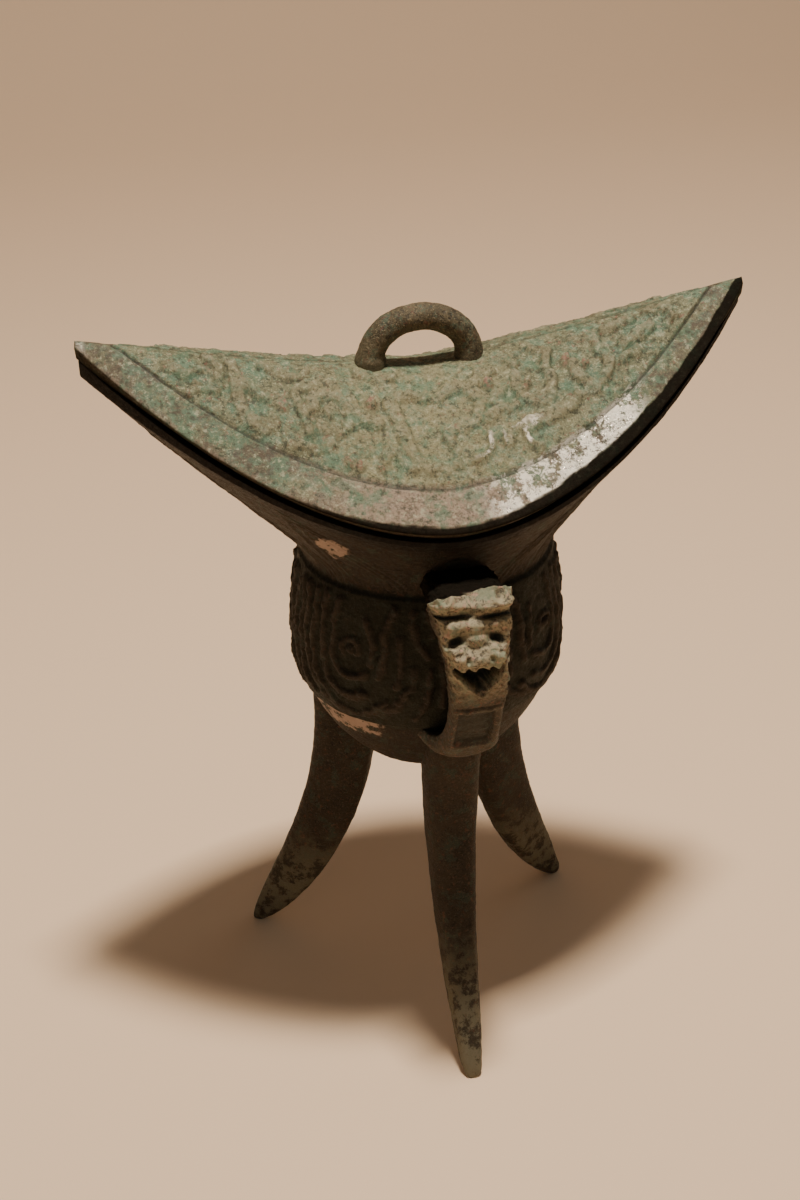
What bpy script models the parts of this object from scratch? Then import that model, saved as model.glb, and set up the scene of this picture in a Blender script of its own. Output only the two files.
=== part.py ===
"""Bronze jiao: a lidded wine vessel with two pointed wings, three blade legs and an animal-head handle.

All lengths are in metres. X runs from wing tip to wing tip, -Y is the handle's side, and the feet
stand on Z = 0. The cup's axis is set back from the origin, so that the origin is the middle of the
whole object's footprint.
"""
import math

import bmesh
import bpy
import numpy as np

MM = 0.001

# Heights, each measured from the form below it
LEG_CLEARANCE = 74.0 * MM
BELLY_RISE = 41.0 * MM
NECK_RISE = 29.0 * MM
MOUTH_RISE = 24.4 * MM
ROOF_RISE = 26.6 * MM
BOWL_BOTTOM_Z = LEG_CLEARANCE
BELLY_Z = BOWL_BOTTOM_Z + BELLY_RISE
NECK_Z = BELLY_Z + NECK_RISE
LID_EDGE_Z = NECK_Z + MOUTH_RISE
LID_RIDGE_Z = LID_EDGE_Z + ROOF_RISE

# Lid: outline, saddle and ridge, which runs out just above the edge at the tips
LID_HALF_LENGTH = 88.0 * MM
LID_HALF_WIDTH = 44.3 * MM
LID_PLAN_POWER = 2.03
LID_EDGE_RISE = 41.3 * MM
LID_EDGE_POWER = 1.8
RIDGE_TIP_STEP = 0.8 * MM
LID_RIDGE_RISE = LID_EDGE_RISE + RIDGE_TIP_STEP - ROOF_RISE
LID_RIDGE_POWER = 1.4
LID_RIDGE_ROUNDNESS = 0.42
LID_TIP_SHARE = 0.992
LID_EDGE_THICKNESS = 3.0 * MM
LID_WALL = 3.2 * MM
LID_RELIEF = 1.4 * MM
LID_FAR_RELIEF = 1.0 * MM
LID_BORDER = 9.5 * MM
BORDER_STEP = 0.5 * MM

# Lid flange, which drops into the mouth
FLANGE_LEVEL = 0.90
FLANGE_THICKNESS = 2.0 * MM
FLANGE_CLEARANCE = 0.8 * MM
FLANGE_ROOT = 0.1 * MM
FLANGE_END_SHARE = 0.72
FLANGE_FADE_SHARE = 0.14
SEAT_GAP = 0.3 * MM

# Ring on the lid
RING_RADIUS = 13.0 * MM
RING_BAR = 7.0 * MM
RING_LIFT = 0.1 * MM
RING_FLATTENING = 2.0 * MM

# Bowl, which stands a little to the right of the lid's middle, as the cast one does
BELLY_HALF_LENGTH = 36.5 * MM
BELLY_HALF_DEPTH = 34.8 * MM
BOWL_OFF_CENTRE = 1.0 * MM
BOWL_POWER = 1.8
NECK_INSET = 2.7 * MM
WALL = 3.0 * MM

# Relief band round the bowl
BAND_BELOW_BELLY = 11.0 * MM
BAND_BELOW_NECK = 1.2 * MM
BAND_LOW_Z = BELLY_Z - BAND_BELOW_BELLY
BAND_HIGH_Z = NECK_Z - BAND_BELOW_NECK
BAND_RAISE = 0.8 * MM
BAND_RELIEF = 1.2 * MM

# Wings and mouth
RIM_OVERHANG = 1.4 * MM
RIM_WALL = 2.2 * MM
TIP_WALL = 3.2 * MM
RIM_LIP = 1.5 * MM
LEFT_TIP_LIP = 4.6 * MM
RIGHT_TIP_LIP = 2.0 * MM
TIP_LIP_POWER = 3.5
WING_TURN = 0.10
WING_BULGE = 0.04
SIDE_FLARE_POWER = 1.6

# Legs
FRONT_FOOT_REACH = 60.0 * MM
BACK_FOOT_REACH = 57.5 * MM
BACK_LEG_ANGLE = 28.0
FRONT_LEG_LEAN = 27.0 * MM
BACK_LEG_LEAN = 24.0 * MM
LEG_OVERLAP = 27.0 * MM
LEG_TOP_Z = BOWL_BOTTOM_Z + LEG_OVERLAP
LEG_CURVE_ABOVE_BOWL = 10.0 * MM
LEG_CURVE_HEIGHT = BOWL_BOTTOM_Z + LEG_CURVE_ABOVE_BOWL
LEG_CURVE_POWER = 1.15
LEG_DEPTH = 18.0 * MM
FOOT_DEPTH = 5.0 * MM
LEG_DEPTH_LENGTH = 14.0 * MM
BACK_LEG_THICKNESS = 13.4 * MM
FRONT_LEG_THICKNESS = 16.6 * MM
FOOT_THICKNESS = 5.4 * MM
FRONT_LEG_TOP_SHIFT = 1.4 * MM

# Exponent of the rounded-square sections of the legs and the handle
BAR_SQUARENESS = 0.62

# Handle: its places stand off the bowl, the neck and the band
HANDLE_REACH = 16.2 * MM
HANDLE_ABOVE_NECK = 7.0 * MM
HANDLE_BELOW_BAND = 7.0 * MM
HANDLE_FRONT = BELLY_HALF_DEPTH + HANDLE_REACH
HANDLE_TOP_Z = NECK_Z + HANDLE_ABOVE_NECK
HANDLE_FOOT_Z = BAND_LOW_Z - HANDLE_BELOW_BAND
HANDLE_HEIGHT = HANDLE_TOP_Z - HANDLE_FOOT_Z
HANDLE_DRIFT = 1.8 * MM
HANDLE_DRIFT_SHARE = 0.5
STRAP_WIDTH = 14.0 * MM
STRAP_THICKNESS = 5.4 * MM
HANDLE_FOOT_WIDTH = 23.0 * MM
HANDLE_FOOT_THICKNESS = 7.0 * MM
HEAD_WIDTH = 18.5 * MM
HEAD_THICKNESS = 9.5 * MM
EYE_SPREAD = 5.2 * MM
EYE_DROP = 6.0 * MM
EYE_RADIUS = 2.6 * MM
SNOUT_DROP = 15.5 * MM
SNOUT_RADIUS = 5.6 * MM
HORN_SPREAD = 8.0 * MM
HORN_LIFT = 3.0 * MM
HORN_RADIUS = 3.4 * MM
HORN_BAR = 1.7 * MM
FEATURE_SINK = 0.6 * MM
CAST_ON_DEPTH = 5.5 * MM

# Path of the handle between its two ends on the cup. Each row is how far it stands back from its
# foremost line, as a share of its reach, how far it is down, as a share of its height, its lean in
# degrees, and how much of the head's, the strap's and the foot's section it has.
HANDLE_PATH = (
    (0.494, -0.01, 75, (1.0, 0.0, 0.0)),
    (0.093, 0.06, 35, (1.0, 0.0, 0.0)),
    (0.0, 0.17, 0, (1.0, 0.0, 0.0)),
    (0.031, 0.33, -6, (0.5, 0.5, 0.0)),
    (0.111, 0.46, -10, (0.0, 1.0, 0.0)),
    (0.259, 0.63, -16, (0.0, 1.0, 0.0)),
    (0.525, 0.81, -30, (0.0, 0.75, 0.25)),
    (0.864, 0.96, -52, (0.0, 0.3, 0.7)),
)
HANDLE_TOP_LEAN = 85
HANDLE_FOOT_LEAN = -60
HANDLE_FOOT_DROP = 1.055

# Mesh fineness
ROUND_STEPS = 64
LID_STEPS = 46
LID_ACROSS = 24
UNDERSIDE_ACROSS = 4
TIP_CROWDING = 0.35
RING_STEPS = 12
BAND_ROWS = 13
BAR_SIDES = 12

# The cup's axis stands back from the origin by half of what the front foot reaches past the lid.
AXIS_Y = (FRONT_FOOT_REACH - LID_HALF_WIDTH) / 2

# Drawing of the lid's relief, in units of a lid 88 long and 44.3 wide from its middle.
# The near side is drawn, with Y counted from the ridge towards the edge.
DRAWING_LENGTH = 88.0
DRAWING_WIDTH = 44.3


def arc(centre, radius, start, end, steps=8):
    """Points along a circular arc, with its angles in degrees."""
    points = []
    for step in range(steps + 1):
        angle = math.radians(start + (end - start) * step / steps)
        points.append((centre[0] + radius * math.cos(angle), centre[1] + radius * math.sin(angle)))
    return points


# Each stroke is its line and its width.
LID_STROKES = (
    # Left end: a short hook, then a tall bar that turns into a curl
    ([(-59.0, 11.2), (-54.5, 12.4)], 2.2),
    ([(-49.2, 5.5), (-48.6, 16.0)] + arc((-43.6, 15.6), 5.0, 170, 60), 3.2),
    ([(-46.5, 12.0), (-41.5, 14.6)], 3.0),
    # A slanted bar with the raised plate of an eye
    ([(-34.8, 13.0), (-32.6, 21.5)], 2.6),
    (arc((-27.0, 17.0), 4.2, -150, 130), 4.6),
    ([(-20.6, 13.5), (-20.2, 19.4), (-15.0, 20.6)], 2.4),
    # The tall slanted bar in the middle, hooked at both ends
    ([(-2.0, 14.6), (-6.0, 13.8), (-11.4, 15.4), (-8.4, 27.6), (-5.0, 31.0), (-1.5, 31.4)], 3.0),
    ([(-15.5, 28.2), (-12.6, 27.4), (-10.4, 30.6)], 2.2),
    # Right of the middle: an S curl, two C curls and a bar
    ([(1.2, 14.4), (5.0, 12.9)] + arc((6.4, 17.2), 4.2, -70, 110), 3.0),
    (arc((26.4, 14.8), 4.6, -20, 210), 3.0),
    (arc((42.0, 13.6), 4.4, -40, 190), 3.0),
    ([(21.8, 24.4), (34.0, 22.0)], 3.4),
    ([(18.6, 5.4), (22.6, 8.8)], 2.4),
    # Meander by the border
    ([(8.0, 30.6), (11.9, 28.6), (11.9, 25.6), (15.2, 25.6), (16.2, 28.8), (17.4, 25.6),
      (20.6, 25.6), (21.4, 29.2), (25.0, 29.8)], 1.8),
    # Right end
    ([(51.0, 10.4), (59.6, 7.8)], 2.6),
    ([(47.4, 5.6), (55.6, 4.2)], 2.4),
)

# Each boss is its middle and its width.
LID_BOSSES = (
    ((-38.4, 15.2), 3.0),
    ((-16.3, 15.5), 3.2),
    ((-24.7, 28.9), 2.6),
    ((-21.8, 29.8), 2.4),
    ((15.0, 13.0), 5.0),
    ((35.8, 12.2), 3.2),
)

# Drawing of one half mask on the band: across from its eye, in units of 1/36.5 of the belly's
# radius, and up from the band's foot, in units of 1/34 of its height.
EYE_ANGLE = 46.0
BAND_DRAWING_RADIUS = 36.5
BAND_DRAWING_HEIGHT = 34.0
MASK_STROKES = (
    ([(-4.2, 30.0), (-4.2, 19.0)] + arc((0.0, 18.0), 4.2, 180, 360) + [(4.2, 30.0)], 2.2),
    ([(-9.4, 31.0), (-9.4, 18.0)] + arc((0.0, 17.0), 9.4, 180, 340, 10) + [(9.2, 24.0)], 2.4),
    ([(-19.0, 16.0), (-13.0, 8.0), (-5.0, 3.6), (4.0, 3.2)], 2.4),
    ([(13.4, 31.0), (13.4, 9.0)], 2.4),
    ([(18.0, 31.0), (18.0, 5.0), (10.0, 4.0)], 2.2),
    ([(-15.0, 31.0), (-15.0, 22.0)], 2.2),
    ([(-21.0, 30.0), (-21.0, 12.0)], 2.4),
)
MASK_BOSSES = (
    ((0.0, 20.0), 4.6),
    ((-15.2, 15.6), 4.0),
)
CARVING_SLOPE = 1.2


def raised(across, up, points, width):
    """Height from 0 to 1 of a stroke or a boss, with sloped sides."""
    distance = np.hypot(across - points[0][0], up - points[0][1])
    for (x0, y0), (x1, y1) in zip(points, points[1:]):
        dx = x1 - x0
        dy = y1 - y0
        share = np.clip(((across - x0) * dx + (up - y0) * dy) / (dx * dx + dy * dy), 0, 1)
        distance = np.minimum(distance, np.hypot(across - x0 - share * dx, up - y0 - share * dy))
    slope = np.clip((width / 2 + CARVING_SLOPE - distance) / CARVING_SLOPE, 0, 1)
    return slope * slope * (3 - 2 * slope)


def drawing_height(across, up, strokes, bosses):
    """Greatest height from 0 to 1 of all strokes and bosses of a drawing."""
    height = np.zeros_like(across)
    for points, width in strokes:
        height = np.maximum(height, raised(across, up, points, width))
    for centre, width in bosses:
        height = np.maximum(height, raised(across, up, [centre], width))
    return height


def lid_edge(x):
    """Height of the lid's upper edge."""
    return LID_EDGE_Z + LID_EDGE_RISE * np.abs(x / LID_HALF_LENGTH) ** LID_EDGE_POWER


def lid_ridge(x):
    """Height of the lid's ridge."""
    return LID_RIDGE_Z + LID_RIDGE_RISE * np.abs(x / LID_HALF_LENGTH) ** LID_RIDGE_POWER


def lid_half_width(x):
    """Half width of the lid's leaf-shaped outline."""
    return LID_HALF_WIDTH * (1 - np.abs(x / LID_HALF_LENGTH) ** LID_PLAN_POWER)


def lid_smooth_top(x, y):
    """Height of the lid's upper side without its relief: a roof with a rounded ridge."""
    soft = LID_RIDGE_ROUNDNESS
    share = np.clip(np.abs(y) / lid_half_width(x), 0, 1)
    fall = (np.sqrt(share ** 2 + soft ** 2) - soft) / (math.sqrt(1 + soft ** 2) - soft)
    return lid_ridge(x) + (lid_edge(x) - lid_ridge(x)) * fall


def lid_relief(x, y):
    """Relief on the lid: the field stands above the plain border, and the drawing on the field."""
    to_edge = lid_half_width(x) - np.abs(y)
    field = np.clip((to_edge - LID_BORDER) / BORDER_STEP, 0, 1)
    side = np.where(y < 0, 1.0, -1.0)
    across = side * x / LID_HALF_LENGTH * DRAWING_LENGTH
    up = np.abs(y) / LID_HALF_WIDTH * DRAWING_WIDTH
    carving = drawing_height(across, up, LID_STROKES, LID_BOSSES)
    depth = np.where(y < 0, LID_RELIEF, LID_FAR_RELIEF)
    return field * (BORDER_STEP + depth * carving)


def bowl_ring(angles, z, wall=0.0, raise_by=0.0):
    """One level ring of the bowl, moved in by the wall or out by a relief."""
    bottom = BOWL_BOTTOM_Z + wall
    below = min(max((BELLY_Z - z) / (BELLY_Z - bottom), 0.0), 1.0)
    above = max((z - BELLY_Z) / (NECK_Z - BELLY_Z), 0.0)
    swell = (1 - below ** BOWL_POWER) ** (1 / BOWL_POWER)
    out = raise_by - wall - NECK_INSET * above ** 2
    x = BOWL_OFF_CENTRE + (BELLY_HALF_LENGTH + out) * swell * np.cos(angles)
    y = (BELLY_HALF_DEPTH + out) * swell * np.sin(angles)
    return np.stack([x, y, np.full_like(x, z)], axis=1)


def band_relief(angles, z):
    """Relief height on the band: four half masks, mirrored about the handle and about the back."""
    degrees = np.degrees(angles) % 360
    from_handle = np.abs((degrees - 270 + 180) % 360 - 180)
    from_middle = np.minimum(from_handle, 180 - from_handle)
    across = np.radians(EYE_ANGLE - from_middle) * BAND_DRAWING_RADIUS
    height = (z - BAND_LOW_Z) / (BAND_HIGH_Z - BAND_LOW_Z) * BAND_DRAWING_HEIGHT
    up = np.full_like(across, height)
    return BAND_RELIEF * drawing_height(across, up, MASK_STROKES, MASK_BOSSES)


def rim_height(x):
    """Height of the vessel's rim: just under the lid's edge."""
    return lid_edge(x) - LID_EDGE_THICKNESS - SEAT_GAP


def rim_lip(x):
    """Height of the rim's upright outer face, which is deepest at the wing tips."""
    tip_lip = np.where(x < 0, LEFT_TIP_LIP, RIGHT_TIP_LIP)
    return RIM_LIP + (tip_lip - RIM_LIP) * np.abs(x / LID_HALF_LENGTH) ** TIP_LIP_POWER


def flare_ring(angles, level, inner=False, below_lip=False):
    """One ring of the neck and wings: level 0 is the neck, level 1 the rim."""
    neck_wall = WALL if inner else 0.0
    rim_wall = RIM_WALL if inner else 0.0
    tip_wall = TIP_WALL if inner else 0.0
    turned = level - WING_TURN * (1 - math.exp(-level / WING_TURN))
    full = 1 - WING_TURN * (1 - math.exp(-1 / WING_TURN))
    along_wing = turned / full + WING_BULGE * math.sin(math.pi * level)
    along_side = level ** SIDE_FLARE_POWER
    share = np.abs(np.cos(angles))
    spread = share * along_wing + (1 - share) * along_side
    neck = bowl_ring(angles, NECK_Z, neck_wall)
    rim_x = (LID_HALF_LENGTH - RIM_OVERHANG - tip_wall) * np.cos(angles)
    rim_y = (LID_HALF_WIDTH - RIM_OVERHANG - rim_wall) * np.sin(angles) * np.abs(np.sin(angles))
    x = neck[:, 0] + (rim_x - neck[:, 0]) * spread
    y = neck[:, 1] + (rim_y - neck[:, 1]) * spread
    top = rim_height(rim_x) - (rim_lip(rim_x) if below_lip else 0.0)
    z = NECK_Z + (top - NECK_Z) * level
    return np.stack([x, y, z], axis=1)


def mouth_at(x):
    """Half width and height of the mouth's inner wall at x, at the flange's level."""
    angles = np.linspace(0, math.pi / 2, 200)
    ring = flare_ring(angles, FLANGE_LEVEL, inner=True)
    order = np.argsort(ring[:, 0])
    half_width = np.interp(abs(x), ring[order, 0], ring[order, 1], right=0.0)
    height = np.interp(abs(x), ring[order, 0], ring[order, 2])
    return half_width, height


def lid_section(x):
    """Closed outline of the lid across X: over the top, then back along the underside."""
    half = float(lid_half_width(x))
    across = np.linspace(-half, half, LID_ACROSS + 1)
    top_z = lid_smooth_top(x, across) + lid_relief(np.full_like(across, x), across)
    outline = list(zip(across, top_z))

    seat_z = float(lid_edge(x)) - LID_EDGE_THICKNESS
    mouth_width, mouth_z = mouth_at(x)
    flange_end = FLANGE_END_SHARE * LID_HALF_LENGTH
    flange_fade = FLANGE_FADE_SHARE * LID_HALF_LENGTH
    fade = min(max((flange_end - abs(x)) / flange_fade, 0.0), 1.0)
    flange_z = seat_z - FLANGE_ROOT + (mouth_z + FLANGE_CLEARANCE - seat_z) * fade
    outer = max(mouth_width - FLANGE_CLEARANCE, half / 3)
    inner = max(outer - FLANGE_THICKNESS, half / 4)
    outline += [(half, seat_z), (outer, seat_z), (outer, flange_z), (inner, flange_z)]
    under_y = np.linspace(inner, -inner, UNDERSIDE_ACROSS + 1)
    under_z = lid_smooth_top(x, under_y) - LID_WALL
    outline += list(zip(under_y, under_z))
    outline += [(-inner, flange_z), (-outer, flange_z), (-outer, seat_z), (-half, seat_z)]
    return np.array([(x, y, z) for y, z in outline])


def loft(name, rings, poles=(None, None)):
    """Object skinned over rings of equally many points, with each end a cap or a pole."""
    mesh_builder = bmesh.new()
    verts = [[mesh_builder.verts.new(point) for point in ring] for ring in rings]
    count = len(verts[0])
    for lower, upper in zip(verts, verts[1:]):
        for index in range(count):
            after = (index + 1) % count
            mesh_builder.faces.new((lower[index], lower[after], upper[after], upper[index]))
    for ring, pole in ((verts[0], poles[0]), (verts[-1], poles[1])):
        if pole is None:
            mesh_builder.faces.new(ring)
            continue
        middle = mesh_builder.verts.new(pole)
        for index in range(count):
            mesh_builder.faces.new((ring[index], ring[(index + 1) % count], middle))
    bmesh.ops.recalc_face_normals(mesh_builder, faces=mesh_builder.faces)
    mesh = bpy.data.meshes.new(name)
    mesh_builder.to_mesh(mesh)
    mesh_builder.free()
    mesh.shade_smooth()
    mesh.set_sharp_from_angle(angle=math.radians(40))
    built = bpy.data.objects.new(name, mesh)
    bpy.context.scene.collection.objects.link(built)
    built.location = (0, AXIS_Y, 0)
    return built


def combine(target, other, operation):
    """Boolean modifier on the target. The other object stays as a hidden guide."""
    modifier = target.modifiers.new(other.name, "BOOLEAN")
    modifier.operation = operation
    modifier.solver = "EXACT"
    modifier.object = other
    other.hide_render = True
    other.display_type = "WIRE"


def bronze(name, colour):
    """Patinated bronze."""
    material = bpy.data.materials.new(name)
    material.use_nodes = True
    shader = material.node_tree.nodes["Principled BSDF"]
    shader.inputs["Base Color"].default_value = (*colour, 1)
    shader.inputs["Metallic"].default_value = 0.35
    shader.inputs["Roughness"].default_value = 0.6
    return material


def cup():
    """The hollow cup: bowl, relief band, neck and wings outside, then the inner wall back down."""
    angles = np.linspace(0, 2 * math.pi, ROUND_STEPS, endpoint=False)
    rings = []
    for share in (0.012, 0.06, 0.18, 0.5):
        rings.append(bowl_ring(angles, BOWL_BOTTOM_Z + share * (BAND_LOW_Z - BOWL_BOTTOM_Z)))
    rings.append(bowl_ring(angles, BAND_LOW_Z - BAND_RAISE))
    for row in range(BAND_ROWS + 1):
        z = BAND_LOW_Z + (BAND_HIGH_Z - BAND_LOW_Z) * row / BAND_ROWS
        inside = 0 < row < BAND_ROWS
        relief = band_relief(angles, z) if inside else 0.0
        rings.append(bowl_ring(angles, z, raise_by=BAND_RAISE + relief))
    rings.append(bowl_ring(angles, BAND_HIGH_Z + BAND_RAISE))
    flare_levels = (0.0, 0.1, 0.25, 0.45, 0.7, 1.0)
    for level in flare_levels:
        rings.append(flare_ring(angles, level, below_lip=True))
    rings.append(flare_ring(angles, 1.0))
    for level in (1.0, 0.7, 0.4, 0.12):
        rings.append(flare_ring(angles, level, inner=True))
    inner_bottom = BOWL_BOTTOM_Z + WALL
    for share in (0.9, 0.5, 0.2, 0.05):
        z = inner_bottom + share * (NECK_Z - inner_bottom)
        rings.append(bowl_ring(angles, z, WALL))
    poles = ((BOWL_OFF_CENTRE, 0, BOWL_BOTTOM_Z), (BOWL_OFF_CENTRE, 0, inner_bottom))
    return loft("vessel", rings, poles=poles)


def wall_core():
    """Solid out to the middle of the cup's wall, which trims what is cast onto the cup."""
    angles = np.linspace(0, 2 * math.pi, ROUND_STEPS // 2, endpoint=False)
    middle = WALL / 2
    bottom = BOWL_BOTTOM_Z + middle
    rings = []
    for share in (0.01, 0.06, 0.15, 0.35, 0.6, 0.85):
        rings.append(bowl_ring(angles, bottom + share * (NECK_Z - bottom), middle))
    for level in (0.0, 0.08, 0.18, 0.32, 0.55, 0.85):
        outer = flare_ring(angles, level)
        inner = flare_ring(angles, level, inner=True)
        rings.append((outer + inner) / 2)
    poles = ((BOWL_OFF_CENTRE, 0, bottom), (BOWL_OFF_CENTRE, 0, NECK_Z + MOUTH_RISE))
    return loft("wall_core", rings, poles=poles)


def leg(name, angle, reach, lean, leg_thickness, top_shift=0.0):
    """One blade leg, upright at the bowl, that curves out to a blunt foot with a small flat underside."""
    turn = math.radians(angle)
    rings = []
    for share in (0.0, 0.03, 0.09, 0.18, 0.32, 0.5, 0.75, 1.0):
        z = LEG_TOP_Z * share
        curve = math.sin(math.pi / 2 * min(z / LEG_CURVE_HEIGHT, 1.0)) ** LEG_CURVE_POWER
        outer = reach - lean * curve
        depth = FOOT_DEPTH + (LEG_DEPTH - FOOT_DEPTH) * (1 - math.exp(-z / LEG_DEPTH_LENGTH))
        thickness = FOOT_THICKNESS + (leg_thickness - FOOT_THICKNESS) * share ** 0.8
        ring = []
        for step in range(BAR_SIDES):
            around = 2 * math.pi * step / BAR_SIDES
            across = math.copysign(abs(math.cos(around)) ** BAR_SQUARENESS, math.cos(around))
            along = math.copysign(abs(math.sin(around)) ** BAR_SQUARENESS, math.sin(around))
            radial = outer - depth / 2 + across * depth / 2
            side = along * thickness / 2 + top_shift * share ** 2
            x = BOWL_OFF_CENTRE * share + radial * math.cos(turn) - side * math.sin(turn)
            y = radial * math.sin(turn) + side * math.cos(turn)
            ring.append((x, y, z))
        rings.append(ring)
    return loft(name, rings)


def handle_middle(z):
    """X of the handle's middle at a height: it leans a little to the right, as the cast one does."""
    down = (HANDLE_TOP_Z - z) / (HANDLE_DRIFT_SHARE * HANDLE_HEIGHT)
    return BOWL_OFF_CENTRE + HANDLE_DRIFT * min(max(down, 0.0), 1.0)


def strap_ring(y, z, slope, width, thickness):
    """One cross-section of the strap, square to its path in the YZ plane."""
    middle = handle_middle(z)
    ring = []
    for step in range(BAR_SIDES):
        around = 2 * math.pi * step / BAR_SIDES
        side = math.copysign(abs(math.cos(around)) ** BAR_SQUARENESS, math.cos(around)) * width / 2
        out = math.copysign(abs(math.sin(around)) ** BAR_SQUARENESS, math.sin(around)) * thickness / 2
        ring.append((middle + side, y - out * math.cos(slope), z + out * math.sin(slope)))
    return ring


def handle():
    """Strap loop: out from the neck, down as the animal's face, and back to the bowl below."""
    neck = -(BELLY_HALF_DEPTH - NECK_INSET) + CAST_ON_DEPTH
    foot = -BELLY_HALF_DEPTH + CAST_ON_DEPTH
    sections = np.array([
        (HEAD_WIDTH, HEAD_THICKNESS),
        (STRAP_WIDTH, STRAP_THICKNESS),
        (HANDLE_FOOT_WIDTH, HANDLE_FOOT_THICKNESS),
    ])
    rings = [strap_ring(neck, HANDLE_TOP_Z, math.radians(HANDLE_TOP_LEAN), *sections[0])]
    for back, down, lean, mixture in HANDLE_PATH:
        width, thickness = np.array(mixture) @ sections
        y = -HANDLE_FRONT + back * HANDLE_REACH
        z = HANDLE_TOP_Z - down * HANDLE_HEIGHT
        rings.append(strap_ring(y, z, math.radians(lean), width, thickness))
    foot_z = HANDLE_TOP_Z - HANDLE_FOOT_DROP * HANDLE_HEIGHT
    rings.append(strap_ring(foot, foot_z, math.radians(HANDLE_FOOT_LEAN), *sections[2]))
    return loft("handle", rings)


def ball(name, centre, radii):
    """Ellipsoid of a few faces."""
    mesh_builder = bmesh.new()
    bmesh.ops.create_uvsphere(mesh_builder, u_segments=10, v_segments=7, radius=1.0)
    bmesh.ops.scale(mesh_builder, vec=radii, verts=mesh_builder.verts)
    bmesh.ops.translate(mesh_builder, vec=centre, verts=mesh_builder.verts)
    mesh = bpy.data.meshes.new(name)
    mesh_builder.to_mesh(mesh)
    mesh_builder.free()
    built = bpy.data.objects.new(name, mesh)
    bpy.context.scene.collection.objects.link(built)
    built.location = (0, AXIS_Y, 0)
    return built


def tube(name, path, radius, sides):
    """Round bar along points in a plane of constant Y or facing the front."""
    rings = []
    for index, point in enumerate(path):
        before = np.array(path[max(index - 1, 0)])
        after = np.array(path[min(index + 1, len(path) - 1)])
        along = (after - before) / np.linalg.norm(after - before)
        depth = np.array((0.0, 1.0, 0.0))
        across = np.cross(along, depth)
        ring = []
        for step in range(sides):
            around = 2 * math.pi * step / sides
            ring.append(np.array(point) + radius * (math.cos(around) * across + math.sin(around) * depth))
        rings.append(ring)
    return loft(name, rings)


def horn(name, side):
    """Curled horn at the top corner of the face."""
    horn_z = HANDLE_TOP_Z + HORN_LIFT
    middle = handle_middle(horn_z)
    path = []
    for step in range(8):
        angle = math.radians(-110 + 36 * step)
        radius = HORN_RADIUS * (1 - 0.06 * step)
        x = middle + side * (HORN_SPREAD + radius * math.cos(angle))
        path.append((x, -HANDLE_FRONT - HEAD_THICKNESS * 0.3, horn_z + radius * math.sin(angle)))
    return tube(name, path, HORN_BAR, 6)


def vessel():
    """Cup, legs and handle, cast in one."""
    body = cup()
    core = wall_core()
    cast_on = [
        leg("front_leg", -90, FRONT_FOOT_REACH, FRONT_LEG_LEAN, FRONT_LEG_THICKNESS, FRONT_LEG_TOP_SHIFT),
        leg("right_leg", BACK_LEG_ANGLE, BACK_FOOT_REACH, BACK_LEG_LEAN, BACK_LEG_THICKNESS),
        leg("left_leg", 180 - BACK_LEG_ANGLE, BACK_FOOT_REACH, BACK_LEG_LEAN, BACK_LEG_THICKNESS),
    ]
    grip = handle()
    face_y = -HANDLE_FRONT - HEAD_THICKNESS / 2
    snout_radii = (SNOUT_RADIUS, SNOUT_RADIUS * 0.75, SNOUT_RADIUS * 0.8)
    snout_z = HANDLE_TOP_Z - SNOUT_DROP
    snout = ball("snout", (handle_middle(snout_z), face_y + FEATURE_SINK, snout_z), snout_radii)
    combine(grip, snout, "UNION")
    eye_z = HANDLE_TOP_Z - EYE_DROP
    for side in (-1, 1):
        eye_place = (handle_middle(eye_z) + side * EYE_SPREAD, face_y + FEATURE_SINK, eye_z)
        eye = ball(f"eye_{side}", eye_place, (EYE_RADIUS,) * 3)
        combine(grip, eye, "UNION")
        combine(grip, horn(f"horn_{side}", side), "UNION")
    cast_on.append(grip)
    for piece in cast_on:
        combine(piece, core, "DIFFERENCE")
        combine(body, piece, "UNION")
    body.data.materials.append(bronze("dark_bronze", (0.045, 0.05, 0.035)))
    return body


def lid():
    """Saddle-shaped lid with its flange and its half ring."""
    tip = LID_TIP_SHARE * LID_HALF_LENGTH
    sections = []
    for share in np.linspace(-1, 1, LID_STEPS + 1):
        crowded = math.sin(math.pi / 2 * share)
        sections.append(lid_section(tip * ((1 - TIP_CROWDING) * share + TIP_CROWDING * crowded)))
    cover = loft("lid", sections)
    foot_z = float(lid_ridge(RING_RADIUS)) - LID_WALL / 2
    rise = RING_RADIUS - RING_FLATTENING
    path = [(-RING_RADIUS, 0, foot_z)]
    for step in range(RING_STEPS + 1):
        angle = math.pi * (1 - step / RING_STEPS)
        x = RING_RADIUS * math.cos(angle)
        path.append((x, 0, LID_RIDGE_Z + RING_LIFT + RING_FLATTENING + rise * math.sin(angle)))
    path.append((RING_RADIUS, 0, foot_z))
    combine(cover, tube("ring", path, RING_BAR / 2, 10), "UNION")
    cover.data.materials.append(bronze("green_bronze", (0.17, 0.24, 0.17)))
    return cover


for leftover in list(bpy.data.objects):
    bpy.data.objects.remove(leftover, do_unlink=True)
vessel()
lid()
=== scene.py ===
"""Bronze jiao: the finish of the cast vessel and its lid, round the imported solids."""
import math

import bpy
import numpy as np
from mathutils import Matrix, Vector, noise


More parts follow.
